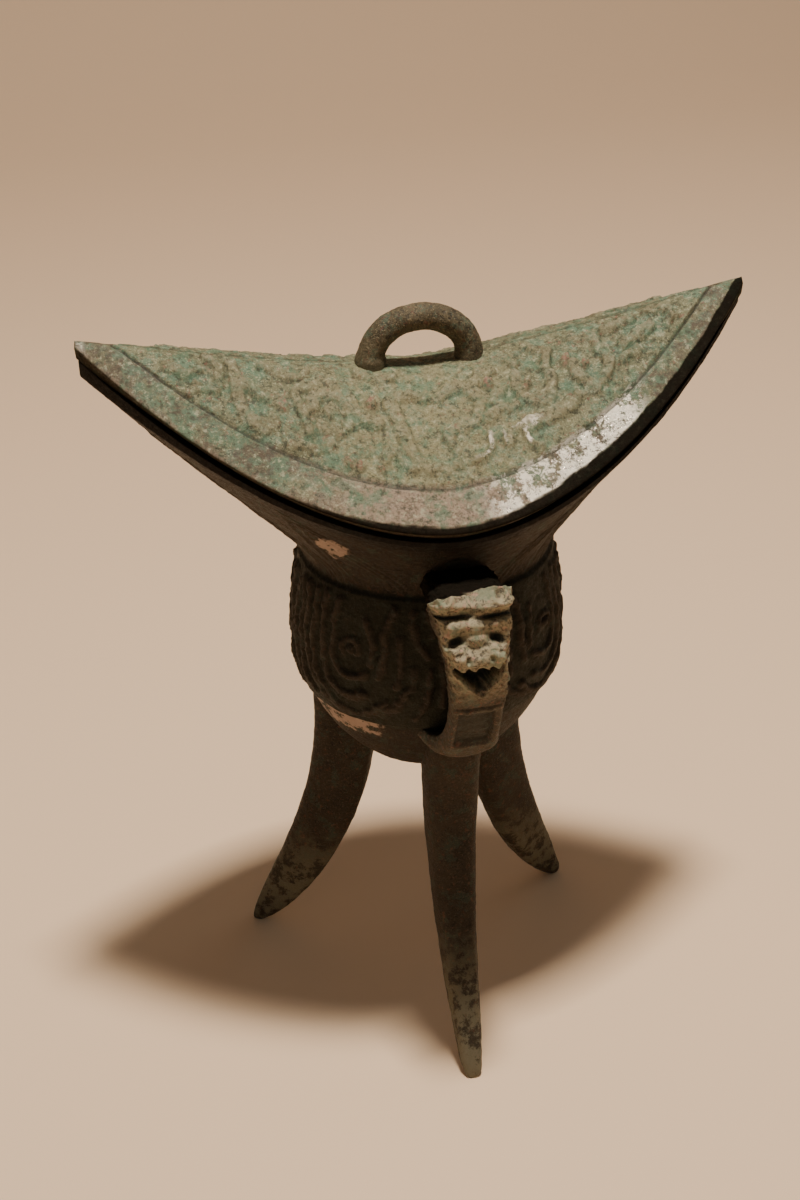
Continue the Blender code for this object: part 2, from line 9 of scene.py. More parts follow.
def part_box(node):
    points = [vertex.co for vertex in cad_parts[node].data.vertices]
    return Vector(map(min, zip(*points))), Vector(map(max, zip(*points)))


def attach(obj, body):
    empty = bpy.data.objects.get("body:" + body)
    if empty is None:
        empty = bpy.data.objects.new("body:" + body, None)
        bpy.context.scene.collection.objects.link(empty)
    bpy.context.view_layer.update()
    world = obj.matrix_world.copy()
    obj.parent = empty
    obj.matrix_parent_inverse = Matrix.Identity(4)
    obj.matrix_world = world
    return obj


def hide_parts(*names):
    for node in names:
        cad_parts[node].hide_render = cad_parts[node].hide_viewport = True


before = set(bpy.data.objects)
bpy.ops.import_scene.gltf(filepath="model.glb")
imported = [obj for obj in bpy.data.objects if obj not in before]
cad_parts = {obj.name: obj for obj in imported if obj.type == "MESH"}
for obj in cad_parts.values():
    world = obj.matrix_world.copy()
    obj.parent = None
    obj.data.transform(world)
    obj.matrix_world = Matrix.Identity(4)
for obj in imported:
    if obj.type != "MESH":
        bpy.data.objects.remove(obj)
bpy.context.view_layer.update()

# Lid. Cast bronze about 3 mm thick, a saddle-shaped roof with a rounded ridge and a leaf-shaped
# outline. The cast relief of curls, bars and bosses stands on a field inside a plain polished border,
# and a flange underneath drops into the mouth.
MM = 0.001
LID_HALF_LENGTH = 88.0 * MM
LID_HALF_WIDTH = 44.3 * MM
LID_PLAN_POWER = 2.03
LID_EDGE_Z = 168.4 * MM
LID_EDGE_RISE = 41.3 * MM
LID_EDGE_POWER = 1.8
LID_RIDGE_Z = 195.0 * MM
LID_RIDGE_RISE = 15.5 * MM
LID_RIDGE_POWER = 1.4
LID_RIDGE_ROUNDNESS = 0.42
LID_EDGE_THICKNESS = 3.0 * MM
LID_EDGE_ROUNDING = 1.2 * MM
LID_EDGE_DROP = 0.5 * MM
LID_TIP_HALF_WIDTH = 0.25 * MM
LID_WALL = 3.2 * MM
LID_FIELD_RAISE = 0.35 * MM
LID_RELIEF = 1.35 * MM
LID_FAR_RELIEF = 0.6 * MM
LID_CREVICE_DEPTH = 0.12 * MM
LID_LUMPS = 0.14 * MM
LID_PITS = 0.17 * MM
LID_GRAINS = 0.11 * MM
LID_BORDER = 9.5 * MM
BORDER_STEP = 0.5 * MM
BORDER_SMOOTHNESS = 0.7
BORDER_LINE_WIDTH = 0.32 * MM
BORDER_LINE_DEPTH = 0.5 * MM
RIDGE_LINE_Y = 0.9 * MM
RIDGE_LINE_WIDTH = 0.5 * MM
RIDGE_LINE_DEPTH = 0.25 * MM
RIDGE_LINE_START = 17 * MM
RIDGE_LINE_FADE = 4 * MM
FLANGE_DEPTH = 3.5 * MM
FLANGE_INSET = 7.0 * MM
FLANGE_TAPER = 0.075
FLANGE_LEAST_SHARE = 0.4
FLANGE_LEAST_INNER_SHARE = 0.3
FLANGE_THICKNESS = 2.0 * MM
FLANGE_END = 0.72 * LID_HALF_LENGTH
FLANGE_FADE = 0.14 * LID_HALF_LENGTH

# The cup's axis stands back from the origin: the lid's box gives where.
lid_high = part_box("lid")[1]
AXIS_Y = lid_high[1] - LID_HALF_WIDTH
LID_TIP_X = lid_high[0]


def arc(centre, radius, start, end, steps=14):
    """Points along a circular arc, with its angles in degrees."""
    points = []
    for step in range(steps + 1):
        angle = math.radians(start + (end - start) * step / steps)
        points.append((centre[0] + radius * math.cos(angle), centre[1] + radius * math.sin(angle)))
    return points


# The relief is drawn in millimetres from the lid's middle, for the handle's side, with Y counted
# from the ridge towards the edge. Each stroke is its line and its width.
LID_STROKES = (
    ([(-66.0, 6.0), (-61.0, 8.6), (-57.6, 7.2)], 1.6),
    ([(-59.0, 11.2), (-54.5, 12.4)], 2.0),
    ([(-55.6, 2.6), (-52.6, 6.2), (-53.4, 10.2)], 1.8),
    ([(-49.2, 4.5), (-48.9, 16.0)] + arc((-43.9, 15.6), 5.0, 176, 62), 2.6),
    ([(-47.6, 11.0), (-44.6, 12.2), (-41.4, 14.2), (-38.9, 15.0)], 2.2),
    ([(-41.8, 4.6), (-36.4, 8.2), (-30.8, 6.6)], 1.8),
    ([(-34.9, 13.0), (-32.9, 21.8)], 2.0),
    (arc((-26.8, 17.2), 4.6, -165, 128), 2.6),
    ([(-33.6, 11.6), (-27.4, 9.6), (-22.4, 11.4), (-20.8, 14.2), (-20.6, 19.0), (-15.0, 20.6)], 2.0),
    ([(-26.8, 17.4), (-25.6, 18.6)], 3.0),
    ([(-38.4, 24.6), (-33.6, 25.8), (-28.2, 24.8)], 1.7),
    ([(-2.0, 14.4), (-6.0, 13.6), (-10.0, 14.0), (-11.4, 15.4)], 1.8),
    ([(-11.4, 15.4), (-8.6, 27.2)], 2.9),
    ([(-8.6, 27.2), (-7.2, 29.8), (-4.6, 31.2), (-1.4, 31.5), (2.6, 30.4)], 2.0),
    ([(-15.6, 28.4), (-13.8, 27.2), (-12.0, 27.6), (-10.8, 29.6), (-8.8, 31.2)], 1.7),
    ([(-17.8, 6.0), (-13.0, 8.4), (-8.6, 7.4)], 1.8),
    ([(0.6, 14.6), (4.8, 12.8)] + arc((6.6, 17.4), 4.6, -80, 110), 2.4),
    ([(4.6, 21.8), (1.2, 24.6), (3.0, 27.6)], 2.0),
    (arc((14.8, 13.4), 3.8, 20, 300), 1.9),
    ([(18.4, 4.6), (20.8, 6.4), (22.6, 9.0)], 2.0),
    (arc((26.4, 14.9), 4.7, -35, 205), 2.4),
    ([(30.4, 12.2), (31.8, 7.6), (28.2, 4.8)], 2.0),
    (arc((42.0, 13.8), 4.5, -50, 185), 2.4),
    ([(45.0, 10.4), (44.0, 6.2), (38.8, 5.2)], 2.0),
    ([(21.8, 24.6), (28.0, 24.0), (34.2, 22.0)], 2.6),
    ([(12.4, 21.8), (16.4, 19.6), (20.4, 20.2)], 1.8),
    ([(36.4, 20.6), (41.8, 19.8)], 1.7),
    ([(7.2, 31.0), (10.2, 30.2), (11.9, 28.4), (12.1, 25.7), (15.4, 25.3), (16.0, 28.2), (17.0, 28.2),
      (17.6, 25.2), (20.6, 25.0), (21.6, 28.8), (24.6, 29.9)], 1.15),
    ([(51.0, 10.4), (55.4, 9.6), (59.6, 7.6)], 2.2),
    ([(47.4, 5.6), (55.6, 4.0)], 2.0),
    ([(50.0, 14.4), (54.2, 13.0)], 1.8),
    ([(59.8, 3.0), (65.6, 4.2)], 1.8),
    ([(66.6, 6.4), (63.4, 8.4)], 1.6),
)
LID_BOSSES = (
    ((-38.4, 15.2), 2.6),
    ((-16.3, 15.5), 2.8),
    ((-24.7, 28.9), 2.2),
    ((-22.2, 29.8), 2.0),
    ((-16.9, 30.6), 1.5),
    ((14.8, 13.2), 2.6),
    ((24.6, 15.4), 2.0),
    ((35.8, 11.4), 2.6),
    ((40.6, 13.6), 2.0),
    ((-61.8, 13.4), 1.6),
)
STROKE_BREADTH = 1.25
LID_WARP = 0.5
LID_CARVING_SLOPE = 0.7
CREVICE_REACH = 1.0
BOSS_HEIGHT = 1.15
BOSS_SLOPE = 1.3


def raised(across, up, points, width, slope_width):
    """Height from 0 to 1 of a stroke or a boss with rounded sides."""
    best = np.hypot(across - points[0][0], up - points[0][1])
    for (x0, y0), (x1, y1) in zip(points, points[1:]):
        dx = x1 - x0
        dy = y1 - y0
        length = max(dx * dx + dy * dy, 1e-9)
        share = np.clip(((across - x0) * dx + (up - y0) * dy) / length, 0, 1)
        best = np.minimum(best, np.hypot(across - x0 - share * dx, up - y0 - share * dy))
    slope = np.clip((width / 2 + slope_width / 2 - best) / slope_width, 0, 1)
    return slope * slope * (3 - 2 * slope)


def carved(across, up, strokes, bosses, slope_width):
    """Greatest height from 0 to 1 of all strokes and bosses."""
    height = np.zeros_like(across)
    for points, width in strokes:
        height = np.maximum(height, raised(across, up, points, width, slope_width))
    for centre, width in bosses:
        boss = raised(across, up, [centre], width, slope_width * BOSS_SLOPE)
        height = np.maximum(height, BOSS_HEIGHT * boss)
    return height


def rough(points, size, seed=0.0, octaves=4):
    """Fractal noise from about -1 to 1 at each point, with its coarsest lumps of the given size."""
    shift = Vector((seed, seed * 0.7, -seed * 1.3))
    values = np.empty(len(points))
    for index, point in enumerate(points):
        values[index] = noise.fractal(Vector(point) / size + shift, 0.7, 2.1, octaves)
    return values


def lid_edge(x):
    return LID_EDGE_Z + LID_EDGE_RISE * np.abs(x / LID_HALF_LENGTH) ** LID_EDGE_POWER


def lid_half_width(x):
    return LID_HALF_WIDTH * (1 - np.abs(x / LID_HALF_LENGTH) ** LID_PLAN_POWER)


def lid_top(x, y):
    """Height of the lid's upper side without its relief."""
    ridge = LID_RIDGE_Z + LID_RIDGE_RISE * np.abs(x / LID_HALF_LENGTH) ** LID_RIDGE_POWER
    soft = LID_RIDGE_ROUNDNESS
    share = np.clip(np.abs(y) / lid_half_width(x), 0, 1)
    fall = (np.sqrt(share ** 2 + soft ** 2) - soft) / (math.sqrt(1 + soft ** 2) - soft)
    return ridge + (lid_edge(x) - ridge) * fall


def settle(piece, points):
    """Puts a piece's vertices at the points, in the cup's frame, and its object at the origin."""
    placed = np.array(points, dtype=np.float32)
    placed[:, 1] += AXIS_Y
    piece.location = (0, 0, 0)
    piece.data.vertices.foreach_set("co", placed.ravel())
    piece.data.update()


def outward(piece):
    """Points the faces outwards and shades them smooth."""
    bpy.ops.object.select_all(action="DESELECT")
    bpy.context.view_layer.objects.active = piece
    piece.select_set(True)
    bpy.ops.object.mode_set(mode="EDIT")
    bpy.ops.mesh.select_all(action="SELECT")
    bpy.ops.mesh.normals_make_consistent(inside=False)
    bpy.ops.object.mode_set(mode="OBJECT")
    bpy.ops.object.shade_smooth()


def squarer(values, power):
    """Sines or cosines of a circle, drawn towards a square's."""
    return np.sign(values) * np.abs(values) ** power


def mark(piece, name, values):
    """Keeps one number for each vertex, which the piece's material reads."""
    attribute = piece.data.attributes.new(name, "FLOAT", "POINT")
    attribute.data.foreach_set("value", np.asarray(values, dtype=np.float32))


def vertices_of(piece):
    """The places of a piece's vertices, one row each."""
    places = np.empty(len(piece.data.vertices) * 3)
    piece.data.vertices.foreach_get("co", places)
    return places.reshape(-1, 3)


def new_sphere(name, around, rings):
    """A sphere to reshape, with each vertex's climb from pole to pole, 0 to 1, and its angle."""
    bpy.ops.object.select_all(action="DESELECT")
    bpy.ops.mesh.primitive_uv_sphere_add(segments=around, ring_count=rings, radius=1.0)
    piece = bpy.context.object
    piece.name = name
    ball = vertices_of(piece)
    climb = np.arccos(np.clip(ball[:, 2], -1, 1)) / math.pi
    return piece, climb, np.arctan2(ball[:, 1], ball[:, 0])


def new_rod(name, around, cuts):
    """An upright cylinder to reshape, cut into short lengths from 0 to 1, with its vertices."""
    bpy.ops.object.select_all(action="DESELECT")
    bpy.ops.mesh.primitive_cylinder_add(vertices=around, radius=1, depth=1, location=(0, 0, 0.5))
    piece = bpy.context.object
    piece.name = name
    bpy.ops.object.transform_apply(location=True)
    bpy.ops.object.mode_set(mode="EDIT")
    for step in range(1, cuts):
        bpy.ops.mesh.select_all(action="SELECT")
        bpy.ops.mesh.bisect(plane_co=(0, 0, step / cuts), plane_no=(0, 0, 1))
    bpy.ops.object.mode_set(mode="OBJECT")
    return piece, vertices_of(piece)


# The lid starts as a sphere with its poles at the wing tips: its rings become the sections across
# the lid, each over the top from edge to edge and back underneath. Each half of the underside runs
# along the seat, down the flange, across its end and up again, and then to the middle.
LID_SECTIONS = 478
LID_AROUND = 208
LID_NEAR_COUNT = 104
LID_TOP_COUNT = 172
TIP_CROWDING = 0.3
SEAT_END = 0.14
DROP_END = 0.30
TURN_END = 0.36
RISE_END = 0.52
lid_shell, along, angles = new_sphere("lid_shell", LID_AROUND, LID_SECTIONS)
turn = np.round(angles % (2 * math.pi) / (2 * math.pi) * LID_AROUND) % LID_AROUND
spaced = TIP_CROWDING * np.sin(math.pi * (along - 0.5)) + (1 - TIP_CROWDING) * (2 * along - 1)
x = spaced * LID_TIP_X
half = np.maximum(lid_half_width(x), LID_TIP_HALF_WIDTH)
on_top = turn <= LID_TOP_COUNT
top_y = np.interp(turn, (0, LID_NEAR_COUNT, LID_TOP_COUNT), (-1, 0, 1)) * half
seat_z = lid_edge(x) - LID_EDGE_THICKNESS
flange_fade = np.clip((FLANGE_END - np.abs(x)) / FLANGE_FADE, 0, 1)
flange_z = seat_z - FLANGE_DEPTH * flange_fade
flange_out = np.maximum(half - FLANGE_INSET - FLANGE_TAPER * np.abs(x), half * FLANGE_LEAST_SHARE)
flange_in = np.maximum(flange_out - FLANGE_THICKNESS, half * FLANGE_LEAST_INNER_SHARE)
under = np.where(on_top, 0, (turn - LID_TOP_COUNT) / (LID_AROUND - LID_TOP_COUNT))
under_side = np.where(under < 0.5, 1.0, -1.0)
fold = np.where(under < 0.5, under, 1 - under) * 2
stretches = [fold <= end for end in (SEAT_END, DROP_END, TURN_END, RISE_END)]
under_y = np.select(
    stretches,
    [half + (flange_out - half) * fold / SEAT_END,
     flange_out,
     flange_out + (flange_in - flange_out) * (fold - DROP_END) / (TURN_END - DROP_END),
     flange_in],
    flange_in * (1 - (fold - RISE_END) / (1 - RISE_END)))
inner_z = lid_top(x, under_y) - LID_WALL
under_z = np.select(
    stretches,
    [seat_z,
     seat_z + (flange_z - seat_z) * (fold - SEAT_END) / (DROP_END - SEAT_END),
     flange_z,
     flange_z + (inner_z - flange_z) * (fold - TURN_END) / (RISE_END - TURN_END)],
    inner_z)
y = np.where(on_top, top_y, under_side * under_y)
z = np.where(on_top, lid_top(x, top_y), under_z)

# The relief, which is turned round for the far side, its crevices, the lines and the crust
near = np.where(y < 0, 1.0, -1.0)
to_edge = half - np.abs(y)
field = np.clip((to_edge - LID_BORDER) / BORDER_STEP, 0, 1)
place = np.stack([x, y, z], axis=1)
lumps = rough(place, size=7 * MM, seed=3.1)
pits = rough(place, size=2.8 * MM, seed=5.3)
grains = rough(place, size=1.1 * MM, seed=8.7, octaves=3)
drawn_x = near * x / MM + LID_WARP * lumps
drawn_y = np.abs(y) / MM + LID_WARP * pits
broad_strokes = [(points, STROKE_BREADTH * width) for points, width in LID_STROKES]
drawing = (drawn_x, drawn_y, broad_strokes, LID_BOSSES)
lid_carving = carved(*drawing, LID_CARVING_SLOPE)
lid_crevice = carved(*drawing, LID_CARVING_SLOPE + CREVICE_REACH)
lid_crevice = np.clip(1.6 * lid_crevice - 2.2 * lid_carving, 0, 1) * field * on_top
lid_bosses = carved(drawn_x, drawn_y, (), LID_BOSSES, LID_CARVING_SLOPE) * field * on_top
lid_carving = np.clip(lid_carving * (0.80 + 0.4 * lumps + 0.3 * pits), 0, 1.2) * field * on_top
depth = np.where(y < 0, LID_RELIEF, LID_FAR_RELIEF)
line = np.exp(-((to_edge - LID_BORDER + BORDER_LINE_WIDTH) / BORDER_LINE_WIDTH) ** 2)
beyond_ring = np.clip((np.abs(x) - RIDGE_LINE_START) / RIDGE_LINE_FADE, 0, 1)
ridge_line = np.exp(-((y - RIDGE_LINE_Y) / RIDGE_LINE_WIDTH) ** 2) * beyond_ring
relief = field * (LID_FIELD_RAISE + depth * lid_carving - LID_CREVICE_DEPTH * lid_crevice)
relief = relief - BORDER_LINE_DEPTH * line - RIDGE_LINE_DEPTH * ridge_line * field
roughness = 1 - BORDER_SMOOTHNESS * (1 - field)
crust = LID_LUMPS * lumps + (LID_PITS * pits + LID_GRAINS * grains) * roughness
edge_fade = np.clip(to_edge / LID_EDGE_ROUNDING, 0, 1)
edge_drop = LID_EDGE_DROP * (1 - np.sqrt(np.clip(1 - (1 - edge_fade) ** 2, 0, 1)))
z = z + np.where(on_top, relief + crust * edge_fade - edge_drop, 0)
settle(lid_shell, np.stack([x, y, z], axis=1))
outward(lid_shell)

# Painted shade along the near edge: 0.3 mm wide at the left tip, widening to 3 mm at the right.
edge_shade_left = 1.2 * np.clip((x / MM + 42) / 30, 0, 1)
edge_shade_right = 1.5 * np.clip((x / MM - 12) / 20, 0, 1)
edge_shade_width = (0.3 + edge_shade_left + edge_shade_right) * MM
edge_shade = np.clip((edge_shade_width * (1 + 0.12 * lumps) - to_edge) / (0.4 * MM), 0, 1)
# Soil in the border line and the ridge line, and soil that is also painted shade in the crevices beside the
# relief.
soil_and_shade_lines = np.maximum(np.maximum(line, 0.6 * ridge_line), 0.85 * lid_crevice)
# Painted shade: the underside and side faces are marked fully and the outermost rows of the top at 0.7, to
# be coloured dark and dull.
at_seat = (turn == 0) | (turn == LID_TOP_COUNT)
mark(lid_shell, "carving", lid_carving)
mark(lid_shell, "border", np.where(on_top, 1 - field, 1))
mark(lid_shell, "groove", np.where(on_top, soil_and_shade_lines, 0))
mark(lid_shell, "under", np.where(on_top, np.where(at_seat, 0.7, 0), 1))
mark(lid_shell, "outer", np.where(on_top, np.clip(1 - to_edge / LID_BORDER, 0, 1), 0))
mark(lid_shell, "boss", lid_bosses)
mark(lid_shell, "edge", np.where(on_top, np.exp(-(to_edge / (1.1 * MM)) ** 2), 0))
# Painted shade on the near edge's strip.
mark(lid_shell, "painted_shade_edge", np.where(on_top & (y < 0), edge_shade, 0))


def shader_graph(name):
    """A new material, with its node tree and its shader."""
    material = bpy.data.materials.new(name)
    material.use_nodes = True
    tree = material.node_tree
    shader = tree.nodes["Principled BSDF"]
    return material, tree, shader


def cloud(coordinates, scale, detail=6.0, roughness=0.6, offset=(0, 0, 0)):
    """Noise pattern of the given scale per metre."""
    tree = coordinates.id_data
    shift = tree.nodes.new("ShaderNodeMapping")
    shift.inputs["Location"].default_value = offset
    tree.links.new(coordinates, shift.inputs["Vector"])
    pattern = tree.nodes.new("ShaderNodeTexNoise")
    pattern.inputs["Scale"].default_value = scale
    pattern.inputs["Detail"].default_value = detail
    pattern.inputs["Roughness"].default_value = roughness
    tree.links.new(shift.outputs["Vector"], pattern.inputs["Vector"])
    return pattern.outputs["Fac"]


def between(value, low, high, to_low=0.0, to_high=1.0):
    """Maps a value from low..high to another range, smoothly."""
    tree = value.id_data
    remap = tree.nodes.new("ShaderNodeMapRange")
    remap.interpolation_type = "SMOOTHSTEP"
    remap.inputs["From Min"].default_value = low
    remap.inputs["From Max"].default_value = high
    remap.inputs["To Min"].default_value = to_low
    remap.inputs["To Max"].default_value = to_high
    tree.links.new(value, remap.inputs["Value"])
    return remap.outputs["Result"]


def combined(kind, first, second):
    """MULTIPLY, ADD, MAXIMUM or SUBTRACT of two values, held between 0 and 1."""
    tree = (second if isinstance(first, float) else first).id_data
    sum_node = tree.nodes.new("ShaderNodeMath")
    sum_node.operation = kind
    sum_node.use_clamp = True
    for socket, value in zip(sum_node.inputs, (first, second)):
        if isinstance(value, float):
            socket.default_value = value
        else:
            tree.links.new(value, socket)
    return sum_node.outputs["Value"]


def layered(share, under, over):
    """Colour of a layer over another, by its share."""
    tree = share.id_data
    mix = tree.nodes.new("ShaderNodeMix")
    mix.data_type = "RGBA"
    tree.links.new(share, mix.inputs["Factor"])
    for socket, value in ((mix.inputs["A"], under), (mix.inputs["B"], over)):
        if isinstance(value, tuple):
            socket.default_value = (*value, 1)
        else:
            tree.links.new(value, socket)
    return mix.outputs["Result"]


def kept(tree, name):
    """A number kept on the piece's vertices."""
    attribute = tree.nodes.new("ShaderNodeAttribute")
    attribute.attribute_name = name
    return attribute.outputs["Fac"]


def coated(colour, *coats):
    """A colour under several coats in turn, each one its share and its colour."""
    for share, coat in coats:
        colour = layered(share, colour, coat)
    return colour


def stained(colour, name, strength, stain):
    """A colour stained where a number kept on the piece is high."""
    share = combined("MULTIPLY", kept(colour.id_data, name), strength)
    return layered(share, colour, stain)


def patina(name, base, pale, green, red, greenness, redness, shine=0.5, wear_and_painted_light=None):
    """Corroded bronze: a dark skin under mottled pale, green and red-brown crusts, with pits of soil."""
    material, tree, shader = shader_graph(name)
    shader.inputs["Specular IOR Level"].default_value = shine
    place_node = tree.nodes.new("ShaderNodeTexCoord")
    here = place_node.outputs["Object"]
    broad = cloud(here, 55, offset=(0.3, 0.1, 0.2))
    patchy = cloud(here, 210, detail=8, roughness=0.74, offset=(1.7, 0.4, 0.9))
    fine = cloud(here, 760, detail=5, roughness=0.75, offset=(0.2, 2.2, 1.1))
    speck = cloud(here, 620, detail=5, roughness=0.7, offset=(3.1, 0.7, 2.6))
    grit = cloud(here, 1900, detail=3, roughness=0.7, offset=(1.1, 4.7, 0.6))
    green_share = between(patchy, 0.57 - greenness, 0.62 - greenness, 0, 0.85)
    pit_colour = tuple(part * 0.4 for part in base)
    grit_colour = tuple(min(part * 1.9, 1) for part in pale)
    colour = coated(
        base,
        (between(broad, 0.38, 0.62), pale),
        (between(fine, 0.42, 0.60, 0, 0.7), pale),
        (green_share, green),
        (between(fine, 0.46, 0.37, 0, 0.8), pit_colour),
        (between(speck, 0.62 - redness, 0.66 - redness, 0, 0.8), red),
        (between(grit, 0.55, 0.63, 0, 0.75), grit_colour))
    metal = combined("SUBTRACT", 0.3, green_share)
    gloss = between(fine, 0.3, 0.7, 0.50, 0.80)
    if wear_and_painted_light is not None:
        colour, metal, gloss = wear_and_painted_light(tree, here, colour, metal, gloss, patchy)
    tree.links.new(colour, shader.inputs["Base Color"])
    tree.links.new(metal, shader.inputs["Metallic"])
    tree.links.new(gloss, shader.inputs["Roughness"])
    bump = tree.nodes.new("ShaderNodeBump")
    bump.inputs["Strength"].default_value = 0.8
    bump.inputs["Distance"].default_value = 0.35 * MM
    fine_height = between(fine, 0.2, 0.8, 0, 0.65)
    grit_height = between(grit, 0.2, 0.8, 0, 0.35)
    tree.links.new(combined("ADD", fine_height, grit_height), bump.inputs["Height"])
    tree.links.new(bump.outputs["Normal"], shader.inputs["Normal"])
    return material


BARE_METAL = (0.83, 0.76, 0.64)
BORDER_BROWN = (0.098, 0.068, 0.043)
BORDER_PINK = (0.330, 0.240, 0.170)
BORDER_GREEN = (0.110, 0.150, 0.092)
WARM_CRUST = (0.310, 0.272, 0.145)
DARK_SPECK = (0.048, 0.050, 0.028)
PALE_SPECK = (0.440, 0.430, 0.280)
VERDIGRIS = (0.098, 0.190, 0.115)
# Painted shade: near-black for surfaces that lie in the lid's shade.
PAINTED_SHADE = (0.008, 0.006, 0.004)
EDGE_BROWN = (0.24, 0.17, 0.115)
RELIEF_BROWN = (0.215, 0.175, 0.100)
RELIEF_PALE = (0.270, 0.245, 0.145)
BOSS_RED = (0.30, 0.155, 0.105)
SOIL = (0.016, 0.018, 0.010)


def along_axis(here, axis):
    """One coordinate of the place."""
    split = here.id_data.nodes.new("ShaderNodeSeparateXYZ")
    here.id_data.links.new(here, split.inputs["Vector"])
    return split.outputs[axis]


def both(*shares):
    """Product of several shares."""
    product = shares[0]
    for share in shares[1:]:
        product = combined("MULTIPLY", product, share)
    return product


def lid_wear_and_shade(tree, here, colour, metal, gloss, patchy):
    """Browner carving, a smoother brown border, bright bare metal on its right part and the tips, and
    painted shade on the underside, the side faces and the near edge.
    """
    border = kept(tree, "border")
    carving = kept(tree, "carving")
    painted_shade_edge = kept(tree, "painted_shade_edge")
    x = along_axis(here, "X")
    y = along_axis(here, "Y")
    flecks = cloud(here, 900, detail=4, roughness=0.7, offset=(0.6, 1.9, 3.7))
    smears = cloud(here, 85, detail=9, roughness=0.72, offset=(5.3, 2.1, 0.4))
    verdigris = cloud(here, 150, detail=9, roughness=0.75, offset=(6.1, 4.2, 0.7))
    specks = cloud(here, 640, detail=6, roughness=0.75, offset=(7.7, 0.3, 2.2))
    chips = cloud(here, 150, detail=11, roughness=0.82, offset=(2.4, 3.3, 1.9))

    # Crusts of the field and the border, from the lowest one up
    middle = both(between(x, -46 * MM, -16 * MM), between(x, 38 * MM, 8 * MM))
    near = between(y, AXIS_Y + 4 * MM, AXIS_Y - 8 * MM)
    brown_smears = both(between(smears, 0.56, 0.45), between(flecks, 0.66, 0.44, 0.35, 0.95))
    relief_top = both(between(carving, 0.5, 0.9), between(flecks, 0.34, 0.56, 0, 0.55))
    colour = coated(
        colour,
        (both(carving, between(flecks, 0.36, 0.60, 0.15, 0.75)), RELIEF_BROWN),
        (both(middle, near, between(flecks, 0.38, 0.60, 0.1, 0.70)), WARM_CRUST),
        (both(border, brown_smears), BORDER_BROWN),
        (both(border, middle, near, between(flecks, 0.36, 0.56, 0.2, 0.95)), BORDER_PINK),
        (both(border, between(smears, 0.54, 0.60, 0, 0.7)), BORDER_GREEN),
        (both(kept(tree, "edge"), between(flecks, 0.38, 0.58, 0.1, 0.8)), EDGE_BROWN),
        (between(verdigris, 0.50, 0.60, 0, 0.65), VERDIGRIS),
        (relief_top, RELIEF_PALE),
        (both(kept(tree, "boss"), between(flecks, 0.46, 0.58, 0, 0.8)), BOSS_RED),
        (between(specks, 0.47, 0.39, 0, 0.75), DARK_SPECK),
        (between(specks, 0.55, 0.63, 0, 0.65), PALE_SPECK))

    # Bare metal on the border's right part, on the relief beside it and at both tips
    stretch = both(
        between(x, 5 * MM, 14 * MM), between(x, 56 * MM, 48 * MM),
        between(y, AXIS_Y - 14 * MM, AXIS_Y - 19 * MM))
    meander = both(
        between(x, 27 * MM, 23 * MM), between(y, AXIS_Y - 22 * MM, AXIS_Y - 25 * MM),
        between(carving, 0.6, 0.95))
    rubbed = combined("MAXIMUM", border, meander)
    outermost = between(kept(tree, "outer"), 0.25, 0.95, 0, 0.55)
    worn = combined("ADD", between(chips, 0.56, 0.44), outermost)
    worn = between(worn, 0.46, 0.56)
    bright = both(stretch, rubbed, worn, between(flecks, 0.68, 0.60, 0.25, 1.0))
    right_tip = between(x, 84 * MM, 87 * MM)
    left_tip = between(x, -84 * MM, -87 * MM)
    tips = both(combined("MAXIMUM", right_tip, left_tip), between(chips, 0.56, 0.48, 0, 0.6))
    bright = combined("MAXIMUM", bright, tips)
    # No bare metal where the near edge carries painted shade.
    bright = combined("SUBTRACT", bright, painted_shade_edge)
    colour = layered(bright, colour, BARE_METAL)
    metal = combined("ADD", metal, bright)
    polish = both(border, between(smears, 0.60, 0.42, 0.02, 0.20))
    gloss = combined("SUBTRACT", gloss, polish)
    gloss = combined("SUBTRACT", gloss, combined("MULTIPLY", bright, 0.12))

    # Soil in the lines, with the same soil standing for painted shade in the crevices beside the relief, and
    # painted shade that makes the underside, the side faces and the near edge dark and dull
    colour = stained(colour, "groove", 0.8, SOIL)
    under = combined("MAXIMUM", kept(tree, "under"), painted_shade_edge)
    # Painted shade on the underside, the side faces and the near edge, with their reflection dimmed.
    colour = layered(combined("MULTIPLY", under, 0.96), colour, PAINTED_SHADE)
    shader = tree.nodes["Principled BSDF"]
    tree.links.new(between(under, 0, 1, 0.5, 0.08), shader.inputs["Specular IOR Level"])
    return colour, combined("SUBTRACT", metal, under), combined("ADD", gloss, under)


lid_patina_and_shade = patina(
    "lid_patina_and_shade", base=(0.112, 0.114, 0.062), pale=(0.215, 0.208, 0.120), green=(0.115, 0.185, 0.115),
    red=(0.25, 0.120, 0.080), greenness=0.06, redness=0.03, wear_and_painted_light=lid_wear_and_shade)
lid_shell.data.materials.append(lid_patina_and_shade)
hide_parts("lid")
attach(lid_shell, "root")


